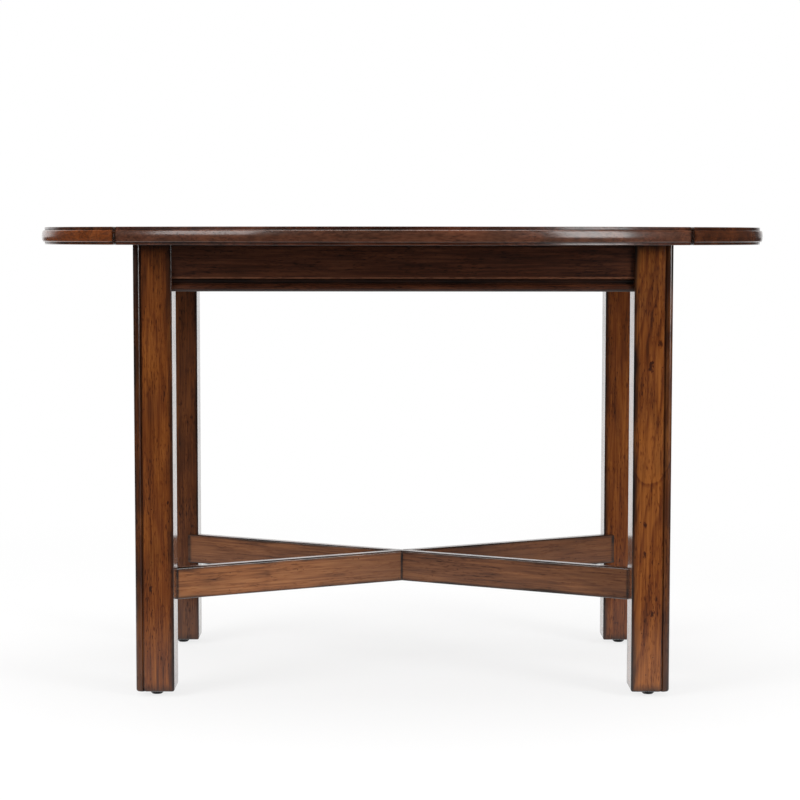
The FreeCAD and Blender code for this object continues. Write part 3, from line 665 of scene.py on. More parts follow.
            # Painted shade at the leaf's tips, in the seam between the leaves; it also dulls the
            # lacquer there
            tip = gaps[0] if board.half[0] > board.half[1] else gaps[1]
            deep.append(tip.fade(*TIP_SHADE_LINE, 0.9))
        dull = reduce(Signal.at_least, deep) if deep else wander * 0.0
        share = reduce(Signal.at_least, shares + deep) * wander.step(0.2, 0.8, 0.55, 1.25)
        return share.sums("MULTIPLY", self.finish.glaze_and_shade_share, use_clamp=True), dull * dull


@dataclass(frozen=True)
class MetalFinish:
    """A metal with patina, fine scratches and uneven polish.

    Attributes:
        name: the finish's name.
        bright: colour where it is rubbed bright.
        dull: colour of the patina.
        rough: roughness where it is bright.
        patina: share of the surface under patina.
    """

    name: str
    bright: Colour
    dull: Colour
    rough: float
    patina: float

    def material(self) -> bpy.types.Material:
        """Write the material, for any number of pieces."""
        sheet = NodeSheet.named(self.name)
        coords = sheet.coords()
        cloud = sheet.noise(coords, (90, 90, 90), 5.0, 0.6)
        lines = sheet.noise(coords, (60, 4000, 1500))
        share = cloud - 0.12 + sheet.noise(coords, (900, 900, 900), 3.0) * 0.25
        wear_and_painted_highlight = share.step(0.56 - 0.3 * self.patina, 0.88 - 0.3 * self.patina)
        colour = sheet.mix(wear_and_painted_highlight, self.bright, self.dull)
        rough = wear_and_painted_highlight * 0.25 + lines * 0.12 + (self.rough - 0.06)
        height = lines * 0.5 + cloud * 0.5
        sheet.finish(colour, rough, height, 0.03 * MM, Metallic=wear_and_painted_highlight * -0.4 + 1.0)
        return sheet.owner


@dataclass(frozen=True)
class PlasticFinish:
    """Moulded plastic with a fine spark-eroded texture."""

    name: str
    colour: Colour
    scuffed: Colour

    def material(self) -> bpy.types.Material:
        """Write the material."""
        sheet = NodeSheet.named(self.name)
        coords = sheet.coords()
        grit = sheet.noise(coords, (2500, 2500, 2500))
        wear_and_painted_highlight = sheet.noise(coords, (160, 160, 600), 4.0, 0.65).step(0.55, 0.75)
        colour = sheet.mix(wear_and_painted_highlight, self.colour, self.scuffed)
        sheet.finish(colour, wear_and_painted_highlight * 0.2 + 0.42, grit, 0.05 * MM, Specular_IOR_Level=0.1)
        return sheet.owner


CHERRY_LEG = WoodFinish("leg_cherry", shade(54, 24, 8), shade(103, 51, 17), shade(144, 84, 34),
                        edge=10 * MM)
# A darker copy of the leg cherry: painted shade on the rear left leg
CHERRY_SHADED_REAR_LEG = WoodFinish("rear_leg_cherry", shade(42, 21, 12), shade(80, 43, 22),
                             shade(112, 66, 32))
CHERRY_APRON = WoodFinish("apron_cherry", shade(36, 18, 12), shade(72, 38, 23), shade(106, 62, 39),
                          edge=4 * MM)
CHERRY_STRETCHER = WoodFinish("stretcher_cherry", shade(68, 35, 16), shade(149, 91, 50),
                              shade(184, 124, 75), edge=6 * MM, end=4 * MM, patches=0.3, pores=0.18)
# A darker copy of the stretcher cherry: painted shade on the upper lap, which runs back to the rear
# left leg
CHERRY_SHADED_STRETCHER = replace(CHERRY_STRETCHER, name="painted_shade_stretcher_cherry",
                                dark=shade(52, 27, 15), mid=shade(108, 65, 38),
                                light=shade(142, 92, 56))
CHERRY_LONG_LEAF = WoodFinish("long_leaf_cherry", shade(52, 26, 17), shade(106, 56, 37),
                              shade(142, 84, 56), rough=0.32, board_wide=104 * MM, patches=0.15)
CHERRY_TOP = WoodFinish("top_cherry", shade(50, 24, 13), shade(98, 51, 27), shade(138, 82, 44),
                        wear_and_painted_highlight=shade(156, 76, 22), rough=0.32, edge=5 * MM, board_wide=104 * MM,
                        patches=0.15)
PLAIN_INSIDE = WoodFinish("inside_poplar", shade(112, 84, 52), shade(156, 122, 80),
                          shade(186, 154, 108), glaze_and_shade=shade(80, 56, 34), edge=1.5 * MM, end=3 * MM,
                          glaze_and_shade_share=0.5, rough=0.55, coat=0.0, patches=0.1)
HINGE_BRASS = MetalFinish("aged_brass", (0.34, 0.225, 0.085, 1.0), (0.25, 0.16, 0.062, 1.0),
                          rough=0.38, patina=0.65)
SPRING_STEEL = MetalFinish("blued_spring_steel", (0.24, 0.25, 0.28, 1.0), (0.09, 0.09, 0.10, 1.0),
                           rough=0.30, patina=0.4)
PLATED_STEEL = MetalFinish("zinc_plated_steel", (0.60, 0.61, 0.60, 1.0), (0.36, 0.36, 0.34, 1.0),
                           rough=0.34, patina=0.3)
BLACK_PLASTIC = PlasticFinish("glide_black", grey(0.003), (0.012, 0.011, 0.01, 1.0))


def copied(node: str) -> bpy.types.Object:
    """Copy a CAD node's mesh as a new piece, with its seams merged."""
    piece = new_object(f"{node}_eased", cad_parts[node].data.copy())
    select_only(piece)
    bpy.ops.mesh.customdata_custom_splitnormals_clear()
    mode("EDIT")
    bpy.ops.mesh.select_all(action="SELECT")
    bpy.ops.mesh.remove_doubles(threshold=0.001 * MM)
    bpy.ops.mesh.dissolve_limited(angle_limit=math.radians(0.2))
    mode("OBJECT")
    return piece


def stand_in(piece: bpy.types.Object, node: str, body: str) -> None:
    """Smooth a piece and let it take the place of a CAD node.

    Args:
        piece: the piece, at the origin.
        node: the CAD node that it replaces.
        body: the body that it rides on.
    """
    select_only(piece)
    bpy.ops.object.shade_smooth_by_angle(angle=SMOOTH_ANGLE)
    apply_modifier(piece, "WEIGHTED_NORMAL", keep_sharp=True, weight=100)
    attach(piece, body)
    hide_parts(node)


def round_foot(piece: bpy.types.Object, foot: float, depth: float = 0.8,
               bore: float = 12 * MM) -> None:
    """Round the lower end of an upright piece.

    Args:
        piece: the piece, at the origin.
        foot: height of the rounding.
        depth: how far it goes in, as a share of its height.
        bore: radius about its middle that is left as it is.
    """
    spots = [vertex.co for vertex in piece.data.vertices]
    low, high = (Vector([end(run) for run in zip(*spots)]) for end in (min, max))
    middle = (low + high) / 2
    heights = [0.0] + [foot * (1 - math.cos(math.radians(turn))) for turn in (30, 60, 90)]
    for height in heights[1:]:
        pick(piece, lambda face: True)
        bpy.ops.mesh.bisect(plane_co=(0, 0, low.z + height), plane_no=(0, 0, 1))
        mode("OBJECT")
    for height in heights[:-1]:
        inset = foot - math.sqrt(foot ** 2 - (foot - height) ** 2)
        share = 1 - depth * inset / (high.x - middle.x)
        pick(piece, lambda vertex: abs(vertex.co.z - low.z - height) < NEAR
             and (vertex.co - middle).xy.length > bore, "VERT")
        bpy.ops.transform.resize(value=(share, share, 1.0), center_override=middle)
        mode("OBJECT")


def softened(node: str, body: str, width: float, foot: float = 0.0) -> bpy.types.Object:
    """Make the piece that stands for a wooden CAD node, with its arrises eased.

    Args:
        node: the CAD node that it replaces.
        body: the body that it rides on.
        width: width of the easing in metres.
        foot: rounding of its lower end in metres, or 0.

    Returns:
        The piece, at the origin and without a material.
    """
    piece = copied(node)
    if foot:
        round_foot(piece, foot)
    apply_modifier(piece, "BEVEL", width=width, segments=2, limit_method="ANGLE",
                   angle_limit=EASE_ANGLE, use_clamp_overlap=True, miter_outer="MITER_ARC")
    stand_in(piece, node, body)
    return piece


@dataclass
class Moulding:
    """The moulded edge of a leaf: a section that is turned about the middle of the leaf's arc.

    Attributes:
        radius: radius of the band.
        thick: thickness of the leaf.
        fillet: height of the upper fillet.
        foot: height of the lower fillet.
        set_back: depth of the fillets behind the band.
        bow: radius of the band's own gentle bow.
        lean: angle in degrees at which the bow runs into the shoulders.
        ease: rounding of the fillets' arrises.
        deep: width of the rim that is turned.
        steps: spans along the arc.
        bends: spans round a shoulder.
    """

    radius: float
    thick: float
    fillet: float = 4.0 * MM
    foot: float = 3.4 * MM
    set_back: float = 3.8 * MM
    bow: float = 25.0 * MM
    lean: float = 14.0
    ease: float = 0.7 * MM
    deep: float = 7.0 * MM
    steps: int = 180
    bends: int = 7

    def face(self, share: float) -> Band:
        """Give the level of the band, from the middle of the leaf's thickness."""
        return Band(self.foot - self.thick / 2, self.thick / 2 - self.fillet, share)

    def glaze_and_shade_bands(self) -> tuple[Band, ...]:
        """Give the levels of glaze and painted shade: three above the band, the band, and two
        below.
        """
        half, face = self.thick / 2, self.face(0.2)
        return (Band(face.high - 0.3 * MM, face.high + 1.4 * MM, 0.95),
                Band(face.high, half - 1.0 * MM, 0.55),
                Band(half - 1.2 * MM, half - 0.2 * MM, 0.8), face,
                Band(face.low - 1.4 * MM, face.low + 0.3 * MM, 0.95),
                Band(1.0 * MM - half, face.low, 0.5))

    def section(self) -> list[tuple[float, float]]:
        """Give the section's points as radius and height from the leaf's top."""
        back, inner = self.radius - self.set_back, self.radius - self.deep
        foot, head = self.foot - self.thick, -self.fillet
        middle, tall = (foot + head) / 2, (head - foot) / 2
        slope = math.radians(self.lean)
        tight = (tall - self.bow * math.sin(slope)) / (1 - math.sin(slope))
        out = self.radius - self.bow + (self.bow - tight) * math.cos(slope)
        rise = (self.bow - tight) * math.sin(slope)
        return [
            (inner, -self.thick),
            *self.arc(back - self.ease, self.ease - self.thick, self.ease, -90, 0), (back, foot),
            *self.arc(out, middle - rise, tight, -90, -self.lean)[:-1],
            *self.arc(self.radius - self.bow, middle, self.bow, -self.lean, self.lean),
            *self.arc(out, middle + rise, tight, self.lean, 90)[1:], (back, head),
            *self.arc(back - self.ease, -self.ease, self.ease, 0, 90), (inner, 0.0)]

    def arc(self, out: float, up: float, radius: float, start: float,
            end: float) -> list[tuple[float, float]]:
        """Give the points of an arc from its middle, radius and angles in degrees."""
        spans = range(self.bends + 1)
        turns = [math.radians(start + (end - start) * span / self.bends) for span in spans]
        return [(out + radius * math.cos(turn), up + radius * math.sin(turn)) for turn in turns]

    def turned(self, name: str, section: Sequence[tuple[float, float]],
               half: float) -> bpy.types.Object:
        """Turn a closed section about the Z axis.

        Args:
            name: the name of the solid.
            section: the section's points as radius and height.
            half: half of the angle that it is turned through, evenly about the X axis.

        Returns:
            The solid.
        """
        bpy.ops.object.select_all(action="DESELECT")
        bpy.ops.mesh.primitive_circle_add(vertices=len(section), fill_type="NGON")
        solid = bpy.context.active_object
        solid.name = name
        for vertex, (out, up) in zip(solid.data.vertices, section):
            vertex.co = (out * math.cos(half), out * math.sin(half), up)
        mode("EDIT")
        bpy.ops.mesh.select_all(action="SELECT")
        bpy.ops.mesh.spin(steps=self.steps, angle=2 * half, center=(0, 0, 0), axis=(0, 0, 1))
        bpy.ops.mesh.select_all(action="SELECT")
        bpy.ops.mesh.normals_make_consistent(inside=False)
        mode("OBJECT")
        return solid

    def fit(self, leaf: bpy.types.Object, place: Matrix, half: float,
            cuts: Sequence[tuple[Vector, Vector]]) -> None:
        """Put a turned rim in the place of a leaf's own edge.

        Args:
            leaf: the leaf, at the origin.
            place: the place and turn of the middle of the leaf's arc, at the height of its top.
            half: half of the angle of the arc.
            cuts: points and outward normals of the planes that the rim ends at.
        """
        inner = self.radius - self.deep
        core = self.turned("leaf_core", [(inner / 2, -2 * self.thick), (inner, -2 * self.thick),
                                         (inner, self.thick), (inner / 2, self.thick)], half)
        rim = self.turned("leaf_rim", self.section(), half)
        for solid in (core, rim):
            solid.data.transform(place)
        apply_modifier(leaf, "BOOLEAN", operation="INTERSECT", solver="EXACT", object=core)
        bpy.data.objects.remove(core)
        pick(rim, lambda face: True)
        for point, normal in cuts:
            bpy.ops.mesh.select_all(action="SELECT")
            bpy.ops.mesh.bisect(plane_co=point, plane_no=normal, use_fill=True, clear_outer=True)
        mode("OBJECT")
        joints = self.joints(leaf, place, half)
        select_only(leaf)
        rim.select_set(True)
        bpy.ops.object.join()
        middle = place.translation

        def is_wall(face: bpy.types.MeshPolygon) -> bool:
            """Tell whether a face is a wall between the leaf and its rim."""
            away = (face.center - middle).xy.length - inner
            return abs(face.normal.z) < WALL and abs(away) < NEAR

        for across in joints:
            pick(leaf, is_wall)
            bpy.ops.mesh.bisect(plane_co=middle, plane_no=across)
        pick(leaf, is_wall)
        bpy.ops.mesh.delete(type="FACE")
        bpy.ops.mesh.select_all(action="SELECT")
        bpy.ops.mesh.remove_doubles(threshold=0.005 * MM)
        mode("OBJECT")

    def joints(self, leaf: bpy.types.Object, place: Matrix, half: float) -> list[Vector]:
        """Find where a leaf's inner edge has a point that the rim hasn't.

        Args:
            leaf: the leaf, cut back to the rim's inner wall.
            place: the place and turn of the middle of its arc.
            half: half of the angle of the arc.

        Returns:
            The directions along the arc at those points.
        """
        turns = set()
        for vertex in leaf.data.vertices:
            spot = place.inverted() @ vertex.co
            turn = math.atan2(spot.y, spot.x)
            count = (turn + half) * self.steps / (2 * half)
            away = spot.xy.length - self.radius + self.deep
            if abs(away) < NEAR and abs(count - round(count)) > 0.002:
                turns.add(round(turn, 6))
        ways = [Vector((-math.sin(turn), math.cos(turn), 0)) for turn in sorted(turns)]
        return [place.to_3x3() @ way for way in ways]


@dataclass(frozen=True)
class Screw:
    """A slotted countersunk wood screw, with its head at the origin and its tip below.

    Attributes:
        head: radius of the head.
        shank: radius of the shank.
        sink: depth of the head's cone.
        long: length of the shank and its tip.
        slot: width of the slot.
        slot_deep: depth of the slot.
        sides: sides of the head and shank.
        tip: share of the length that tapers to the tip.
        point: thickness of the tip, as a share of the shank's.
    """

    head: float
    shank: float
    sink: float
    long: float
    slot: float
    slot_deep: float
    sides: int = 24
    tip: float = 0.3
    point: float = 0.15

    def model(self, name: str) -> bpy.types.Object:
        """Model the screw, upright."""
        bpy.ops.object.select_all(action="DESELECT")
        bpy.ops.mesh.primitive_cone_add(vertices=self.sides, radius1=self.shank, radius2=self.head,
                                        depth=self.sink, location=(0, 0, -self.sink / 2))
        screw = bpy.context.active_object
        screw.name = name
        bpy.ops.object.transform_apply(location=True, rotation=True, scale=True)
        pick(screw, lambda face: face.normal.z < -LEVEL)
        self.push((self.tip - 1) * self.long)
        self.push(-self.tip * self.long)
        bpy.ops.transform.resize(value=(self.point, self.point, 1.0))
        for side in (-1, 1):
            pick(screw, lambda face: face.normal.z > LEVEL)
            bpy.ops.mesh.bisect(plane_co=(0, side * self.slot / 2, 0), plane_no=(0, 1, 0))
        pick(screw, lambda face: face.normal.z > LEVEL and abs(face.center.y) < self.slot / 4)
        self.push(-self.slot_deep)
        bpy.ops.transform.resize(value=(1 - self.slot_deep / self.head, 1.0, 1.0))
        mode("OBJECT")
        bpy.ops.object.shade_smooth_by_angle(angle=SCREW_SMOOTH)
        return screw

    @staticmethod
    def push(rise: float) -> None:
        """Draw the selected faces out, upwards or downwards."""
        bpy.ops.mesh.extrude_region_move(TRANSFORM_OT_translate={"value": (0, 0, rise)})

    def drive(self, name: str, spots: Iterable[Matrix], body: str, slot: str,
              material: bpy.types.Material) -> None:
        """Drive a copy of the screw at each spot and join them into one piece.

        Args:
            name: the piece's name.
            spots: the places of the heads, with z pointing out of the wood.
            body: the body that it rides on.
            slot: the name of a material slot; not used.
            material: the material.
        """
        pattern = self.model(f"{name}_pattern")
        copies = []
        for count, spot in enumerate(spots):
            turn = Matrix.Rotation(SLOT_TURN * count + SLOT_START, 4, "Z")
            copies.append(new_object(f"{name}_{count}", pattern.data.copy()))
            copies[-1].data.transform(spot @ turn)
        bpy.data.objects.remove(pattern)
        screws = copies[0]
        select_only(screws)
        for copy in copies:
            copy.select_set(True)
        bpy.ops.object.join()
        screws.name = name
        put_on(screws, material)
        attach(screws, body)
        log.info("%s", name)


LEG_KNOTS = {
    "front_right": (Knot(0.164, -0.009, 4 * MM), Knot(0.135, 0.003, 5 * MM),
                    Knot(-0.071, 0.008, 3 * MM), Knot(-0.109, 0.008, 3 * MM),
                    Knot(-0.187, -0.003, 3.5 * MM)),
    "front_left": (Knot(-0.155, 0.005, 3 * MM), Knot(-0.042, -0.018, 2 * MM))}


@dataclass
class Stand:
    """Legs, aprons, stretchers, corner blocks and their fasteners.

    Attributes:
        ease: width of the eased arrises.
        foot: rounding of the legs' lower ends.
        block_screw: the screws that hold the corner blocks to the aprons.
        screw_side: distance of a block's screw from the leg's inner corner, along the apron.
        screw_seat: distance of the screw's seat from the leg's inner corner, outwards.
        stretcher_thick: thickness of the stretchers.
        arch: the arch in the figure of the front right leg.
        cove: the levels of the cove and of the bead's underside, from an apron's lower edge, that
            get glaze and painted shade.
        arris: the level of the arris over the cove, that gets a painted highlight.
    """

    ease: float = 1.0 * MM
    foot: float = 3.5 * MM
    block_screw: Screw = Screw(3.5 * MM, 1.9 * MM, 2.0 * MM, 26 * MM, 0.9 * MM, 1.0 * MM)
    screw_side: float = 39.5 * MM
    screw_seat: float = 14.0 * MM
    stretcher_thick: float = 14.0 * MM
    arch: Triple = (-0.014, 0.003, 43.0)
    cove: tuple[Band, ...] = (Band(10.2 * MM, 16.4 * MM, 1.0), Band(-1 * MM, 3.5 * MM, 0.7))
    arris: Band = Band(16.4 * MM, 19.0 * MM, 0.6)

    def build(self) -> None:
        """Dress the stand from the floor up."""
        self.dress_legs()
        self.dress_aprons()
        self.dress_stretchers()
        self.dress_inside()

    def dress_legs(self) -> None:
        """Ease the legs and give each its own upright grain."""
        for seed, corner in enumerate(CORNERS):
            node = f"leg_{corner}"
            middle, _ = node_box(node)
            leg = softened(node, "base", self.ease, self.foot)
            bead = (sign(middle.y), -sign(middle.x))
            knots = LEG_KNOTS.get(corner, ())
            board = Board.of(node, Grain.ALONG_Z, LEG_SEED + seed, bead=bead, knots=knots)
            if corner == "front_right":
                board = replace(board, pith=0.03, lean=0.10, arches=0.24, arch=self.arch)
            # The rear left leg takes the darker copy of the finish, as painted shade
            finish = CHERRY_SHADED_REAR_LEG if corner == "rear_left" else CHERRY_LEG
            finish.dress(leg, board)
            put_on(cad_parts[f"glide_{corner}"], BLACK_PLASTIC.material())
            log.info("leg and glide %s", corner)

    def dress_aprons(self) -> None:
        """Ease the aprons and run their grain lengthwise."""
        for seed, (side, out) in enumerate(SIDES.items()):
            node = f"apron_{side}"
            _, half = node_box(node)
            apron = softened(node, "base", self.ease / 2)
            # Glaze and painted shade in the cove and under the bead, and a painted highlight on the
            # arris above the cove
            cove = tuple(band.lifted(-half.z) for band in self.cove)
            board = Board.of(node, Grain.ALONG_Y if out.x else Grain.ALONG_X, APRON_SEED + seed,
                             bands=cove, rubbed=(self.arris.lifted(-half.z),))
            CHERRY_APRON.dress(apron, board)
            log.info("apron %s", side)

    def dress_stretchers(self) -> None:
        """Ease the crossed stretchers and run their grain along them."""
        low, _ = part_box("leg_rear_right")
        half_thick = self.stretcher_thick / 2
        half_long = math.hypot(low.x, low.y) + half_thick
        angle = math.atan2(low.y, low.x)
        # The lower lap is painted darker towards its far end, and the upper lap takes the darker
        # copy: both painted shade
        stretchers = (("stretcher_lower_lap", angle, CHERRY_STRETCHER, 0.7),
                      ("stretcher_upper_lap", -angle, CHERRY_SHADED_STRETCHER, 0.0))
        for seed, (node, turn, finish, painted_far_end_shade) in enumerate(stretchers):
            middle, half = node_box(node)
            stretcher = softened(node, "base", self.ease)
            board = Board(middle, (half_long, half_thick, half.z), (0.0, 0.0, turn),
                          STRETCHER_SEED + seed, legs=(low.x, low.y),
                          lap=(math.sin(turn), math.cos(turn), half_thick), painted_far_end_shade=painted_far_end_shade)
            finish.dress(stretcher, board)
            log.info("stretcher %s", node)

    def dress_inside(self) -> None:
        """Dress the corner blocks, dowels and steel under the tray, and drive the block screws."""
        steel = PLATED_STEEL.material()
        for node in ("hanger_bolts", "hanger_washers", "hanger_nuts"):
            put_on(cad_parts[node], steel)
        for seed, corner in enumerate(CORNERS):
            for node in (f"corner_block_{corner}", f"stretcher_dowel_{corner}"):
                board = Board.of(node, Grain.ALONG_X, BLOCK_SEED + seed)
                PLAIN_INSIDE.dress(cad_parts[node], board)
        self.block_screw.drive("corner_block_screws", self.block_spots(), "base", "plated_steel",
                               steel)

    def block_spots(self) -> list[Matrix]:
        """Find the seats of the corner-block screws, with z out of the block."""
        spots = []
        for corner in CORNERS:
            block, _ = node_box(f"corner_block_{corner}")
            low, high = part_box(f"leg_{corner}")
            right, back = sign(block.x), sign(block.y)
            inner_x = low.x if right > 0 else high.x
            inner_y = low.y if back > 0 else high.y
            seat_x = (inner_x + right * self.screw_seat, inner_y - back * self.screw_side)
            seat_y = (inner_x - right * self.screw_side, inner_y + back * self.screw_seat)
            for seat, out in ((seat_x, (-right, 0, 0)), (seat_y, (0, -back, 0))):
                turn = Vector(out).to_track_quat("Z", "Y").to_matrix().to_4x4()
                spots.append(Matrix.Translation((*seat, block.z)) @ turn)
        return spots


# Share of painted light on each leaf's edge band, most on the left leaf
PAINTED_LEAF_LIGHT = {"left": 0.4, "right": 0.06, "front": 0.18, "rear": 0.18}


@dataclass
class Tray:
    """The tray panel, its cleats, and the hinges that carry the leaves.

    Attributes:
        ease: width of the eased arrises.
        hinge_screw: the brass screws of the hinge plates.
        near_out: distance of a plate's two near screws from the pin.
        near_side: distance of each of them from the plate's middle.
        far_out: distance of the third screw from the pin.
        cleat_screw: the steel screws of the cleats.
        long_runs: places of the screws along a long cleat.
        short_runs: places of the screws along a short cleat.
        sunk: how far the heads lie under the face.
        long_radius: radius of the edge of the long leaves.
        end_radius: radius of the edge of the end leaves.
        over: how much more than its own angle a leaf's rim is turned before it is cut.
    """

    ease: float = 0.8 * MM
    hinge_screw: Screw = Screw(3.0 * MM, 1.55 * MM, 1.45 * MM, 11 * MM, 0.7 * MM, 0.6 * MM)
    near_out: float = 10 * MM
    near_side: float = 11.5 * MM
    far_out: float = 23 * MM
    cleat_screw: Screw = Screw(3.4 * MM, 1.75 * MM, 1.7 * MM, 24 * MM, 0.8 * MM, 0.7 * MM)
    long_runs: tuple[float, ...] = (-159.6 * MM, 0.0, 159.6 * MM)
    short_runs: tuple[float, ...] = (-66.9 * MM, 66.9 * MM)
    sunk: float = 0.1 * MM
    long_radius: float = 642.162 * MM
    end_radius: float = 285.234 * MM
    over: float = 1.04

    def build(self) -> None:
        """Dress the tray, its hinges and its cleats."""
        self.dress_panel()
        self.dress_leaves()
        self.dress_hinges()
        self.dress_cleats()

    def dress_panel(self) -> None:
        """Ease the panel and run its boards lengthwise."""
        panel = softened("tray_panel", "tray", self.ease)
        CHERRY_TOP.dress(panel, Board.of("tray_panel", Grain.ALONG_X, PANEL_SEED))
        log.info("tray panel")

    def dress_leaves(self) -> None:
        """Turn the moulded edges of the leaves, match their grain to the panel's, glaze them with
        painted shade in their mouldings and tips, and paint light on their edge bands.
        """
        for seed, (side, out) in enumerate(SIDES.items()):
            node = f"{side}_leaf"
            middle, half = node_box(node)
            radius = self.end_radius if out.x else self.long_radius
            arc = (middle.x + out.x * (half.x - radius),
                   middle.y + out.y * (half.y - radius), radius)
            edge = Moulding(radius, 2 * half.z)
            leaf = copied(node)
            self.mould(leaf, node, edge, out, arc)
            stand_in(leaf, node, f"leaf_{side}")
            # The leaf's mouldings and tips get glaze and painted shade, and its edge band gets
            # painted light
            board = Board.of(node, Grain.ALONG_X, LEAF_SEED + seed, squared=False, arc=arc,
                             bands=edge.glaze_and_shade_bands(), rubbed=(edge.face(PAINTED_LEAF_LIGHT[side]),))
            finish = CHERRY_TOP if out.x else CHERRY_LONG_LEAF
            finish.dress(leaf, board)
            log.info("leaf %s", side)

    def mould(self, leaf: bpy.types.Object, node: str, edge: Moulding, out: Vector,
              arc: Triple) -> None:
        """Find where a leaf's rim lies and ends, and fit it.

        Args:
            leaf: the leaf.
            node: its CAD node.
            edge: its moulded edge.
            out: the way from the tray over the leaf.
            arc: the arc's middle in x and y, and its radius.
        """
        middle, half = node_box(node)
        along = Vector((-out.y, out.x, 0))
        reach, wide = (half.x, half.y) if out.x else (half.y, half.x)
        cuts = [(middle - reach * out, -out), (middle + wide * along, along),
                (middle - wide * along, -along)]
        turn = Matrix.Rotation(math.atan2(out.y, out.x), 4, "Z")
        place = Matrix.Translation((arc[0], arc[1], middle.z + half.z)) @ turn
        edge.fit(leaf, place, self.over * math.asin(wide / edge.radius), cuts)

    def dress_hinges(self) -> None:
        """Dress the hinges, and drive the screws of their plates."""
        brass = HINGE_BRASS.material()
        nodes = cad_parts
        for name in nodes.keys():
            if name.startswith(("hinge_tray_plate", "hinge_leaf_plate", "hinge_pin")):
                put_on(nodes[name], brass)
        put_on(nodes["hinge_springs"], SPRING_STEEL.material())
        tray_spots = []
        for side, out in SIDES.items():
            leaf_spots = []
            for pin in [name for name in nodes.keys() if name.startswith(f"hinge_pin_{side}_")]:
                tray_spots += self.plate_spots(pin, -out)
                leaf_spots += self.plate_spots(pin, out)
            self.hinge_screw.drive(f"hinge_screws_{side}_leaf", leaf_spots, f"leaf_{side}",
                                   "hinge_brass", brass)
        self.hinge_screw.drive("hinge_screws_tray", tray_spots, "tray", "hinge_brass", brass)

    def plate_spots(self, pin: str, out: Vector) -> list[Matrix]:
        """Find the three screws of one hinge plate.

        Args:
            pin: the node of the hinge's pin.
            out: the way from the pin over the plate.

        Returns:
            The places of the screws' heads.
        """
        middle, _ = node_box(pin)
        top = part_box("tray_panel")[1].z - self.sunk
        near, aside = self.near_out * out, self.near_side * Vector((-out.y, out.x, 0))
        shifts = (near + aside, near - aside, self.far_out * out)
        return [Matrix.Translation((*(middle + shift).xy, top)) for shift in shifts]

    def dress_cleats(self) -> None:
        """Dress the cleats and drive their screws from below."""
        spots = []
        down = Matrix.Rotation(math.pi, 4, "X")
        for seed, side in enumerate(SIDES):
            node = f"tray_cleat_{side}"
            middle, half = node_box(node)
            lengthwise = half.x > half.y
            grain = Grain.ALONG_X if lengthwise else Grain.ALONG_Y
            PLAIN_INSIDE.dress(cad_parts[node], Board.of(node, grain, CLEAT_SEED + seed))
            for run in self.long_runs if lengthwise else self.short_runs:
                spot = (run, middle.y) if lengthwise else (middle.x, run)
                height = middle.z - half.z + self.sunk
                spots.append(Matrix.Translation((*spot, height)) @ down)
        steel = PLATED_STEEL.material()
        self.cleat_screw.drive("cleat_screws", spots, "tray", "plated_steel", steel)


@dataclass(frozen=True)
class Lamp:
    """A soft rectangular lamp: its name, place, width and height, and its power in watts."""

    name: str
    place: Triple
    size: tuple[float, float]
    power: float

    def hang(self, target: Triple) -> None:
        """Hang the lamp so that it looks at a point."""
        data = bpy.data.lights.new(self.name, "AREA")
        data.shape = "RECTANGLE"
        data.size, data.size_y = self.size
        data.energy = self.power
        lamp = new_object(self.name, data)
        lamp.location = self.place
        aim = Vector(target) - Vector(self.place)
        lamp.rotation_euler = aim.to_track_quat("-Z", "Y").to_euler()


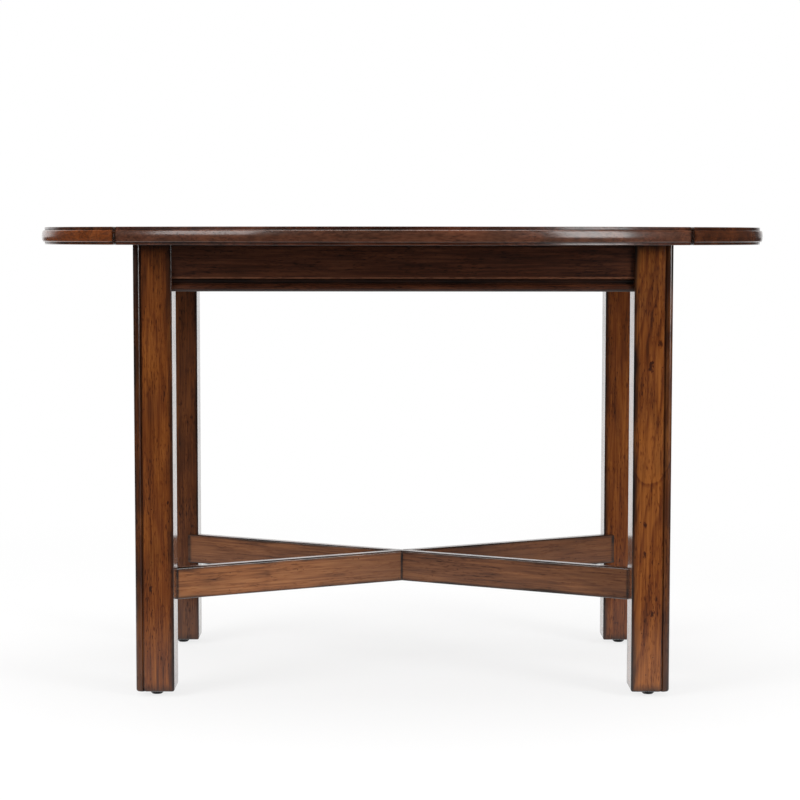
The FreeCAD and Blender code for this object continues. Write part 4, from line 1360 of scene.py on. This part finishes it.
@dataclass
class Studio:
    """A pale floor, soft lamps, and the camera of the photograph.

    Attributes:
        eye: the camera's place.
        pitch: how far it looks down, in degrees.
        yaw: how far it looks to the left, in degrees.
        roll: how far it is tipped to the left, in degrees.
        lens: its focal length in millimetres.
        shift: sideways shift of the frame.
        floor_side: side of the floor.
        floor_white: share of plain white in the floor under the table.
        floor_paint: colour of the floor.
        floor_dim: colour of the floor in front and aside, as the table sees it.
        front: how far back the floor in front is dim, and where that ends.
        aside: slope to the side up to which the floor behind is mirrored, and where that ends.
        stand_off: distance in front of the table from which that slope is measured.
        far: distance at which the floor starts to run into the white, and at which it has.
        fill: strength of the even light.
        room_dim: brightness of the room in front, as the lacquer mirrors it.
        backdrop: how far behind the table the mirrored backdrop starts, and is white.
        lamps: the lamps.
        target: the point that the lamps look at.
    """

    eye: Triple = (-0.0194, -2.949, 0.598)
    pitch: float = 4.38
    yaw: float = -0.06
    roll: float = 0.04
    lens: float = 96.15
    shift: float = 0.01225
    floor_side: float = 40.0
    floor_white: float = 0.80
    floor_paint: Colour = grey(0.93)
    floor_dim: Colour = grey(0.08)
    front: tuple[float, float] = (-0.9, -0.15)
    aside: tuple[float, float] = (0.25, 0.45)
    stand_off: float = 3.0
    far: tuple[float, float] = (0.5, 1.8)
    fill: float = 0.32
    room_dim: float = 0.05
    backdrop: tuple[float, float] = (0.8, 0.97)
    lamps: tuple[Lamp, ...] = (Lamp("lamp_left", (-2.25, -1.83, 1.75), (1.5, 1.6), 50.0),
                               Lamp("lamp_right", (2.15, -1.95, 1.1), (0.95, 1.6), 48.0),
                               Lamp("lamp_top", (0.0, 0.2, 3.2), (2.4, 2.4), 70.0))
    target: Triple = (0.0, 0.0, 0.35)

    def build(self) -> None:
        """Set up the floor, world, lamps and camera."""
        bpy.context.scene.view_settings.view_transform = "Standard"
        self.lay_floor()
        self.light_world()
        for lamp in self.lamps:
            lamp.hang(self.target)
        self.set_camera()

    def lay_floor(self) -> None:
        """Lay a floor that runs into the white far from the table and is clear from below."""
        bpy.ops.object.select_all(action="DESELECT")
        bpy.ops.mesh.primitive_plane_add(size=self.floor_side, location=(0, 0, 0))
        floor = bpy.context.active_object
        floor.name = "studio_floor"
        sheet = NodeSheet.named("studio_floor_paint")
        coords = sheet.coords()
        right, back, _ = coords.split()
        camera, glossy = sheet.rays("Camera", "Glossy")
        front = back.fade(*self.front)
        aside = abs(right).sums("DIVIDE", back + self.stand_off)
        mirrored = glossy * ((1.0 - front) * aside.fade(*self.aside))
        dim = front.at_least(glossy - mirrored)
        paint = sheet.mix(dim, self.floor_paint, self.floor_dim)
        paint = sheet.mix(camera, paint, self.floor_paint)
        share = coords.length().step(*self.far, self.floor_white) * camera.at_least(mirrored)
        matt = sheet.signal("ShaderNodeBsdfDiffuse", {0: paint})
        glow = sheet.signal("ShaderNodeEmission", {0: WHITE, 1: 1.0})
        above = sheet.signal("ShaderNodeMixShader", {0: share, 1: matt, 2: glow})
        clear = sheet.signal("ShaderNodeBsdfTransparent", {})
        below = sheet.signal("ShaderNodeNewGeometry", {}, "Backfacing")
        surface = sheet.signal("ShaderNodeMixShader", {0: below, 1: above, 2: clear})
        sheet.add("ShaderNodeOutputMaterial", {0: surface})
        put_on(floor, sheet.owner)

    def light_world(self) -> None:
        """Fill the room with even light, with a white backdrop and a dim room in front."""
        world = bpy.data.worlds.new("studio_room")
        bpy.context.scene.world = world
        sheet = NodeSheet(world)
        camera, glossy, through = sheet.rays("Camera", "Glossy", "Transmission")
        right, back, _ = sheet.coords("Generated").split()
        back = back + right.fade(-0.35, -0.05, 0.2)  # it reaches further round on the left
        mirrored = back.step(*self.backdrop, self.room_dim)
        shine = glossy.at_least(through)
        level = sheet.signal("ShaderNodeMix", {0: shine, 2: self.fill, 3: mirrored})
        level = sheet.signal("ShaderNodeMix", {0: camera, 2: level, 3: 1.0})
        light = sheet.signal("ShaderNodeBackground", {0: WHITE, 1: level})
        sheet.add("ShaderNodeOutputWorld", {0: light})

    def set_camera(self) -> None:
        """Set the camera where the photograph was taken from."""
        data = bpy.data.cameras.new("photo_camera")
        data.sensor_width = SENSOR
        data.lens = self.lens
        data.shift_x = self.shift
        camera = new_object("photo_camera", data)
        camera.location = self.eye
        tilt = math.radians(90 - self.pitch)
        turn = Matrix.Rotation(math.radians(self.yaw), 4, "Z") @ Matrix.Rotation(tilt, 4, "X")
        camera.rotation_euler = (turn @ Matrix.Rotation(math.radians(self.roll), 4, "Z")).to_euler()
        bpy.context.scene.camera = camera


def main() -> None:
    """Dress the table and set up the studio."""
    logging.basicConfig(level=logging.INFO, format="%(name)s: %(message)s")
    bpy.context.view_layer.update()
    Stand().build()
    Tray().build()
    Studio().build()


if __name__ == "__main__":
    main()
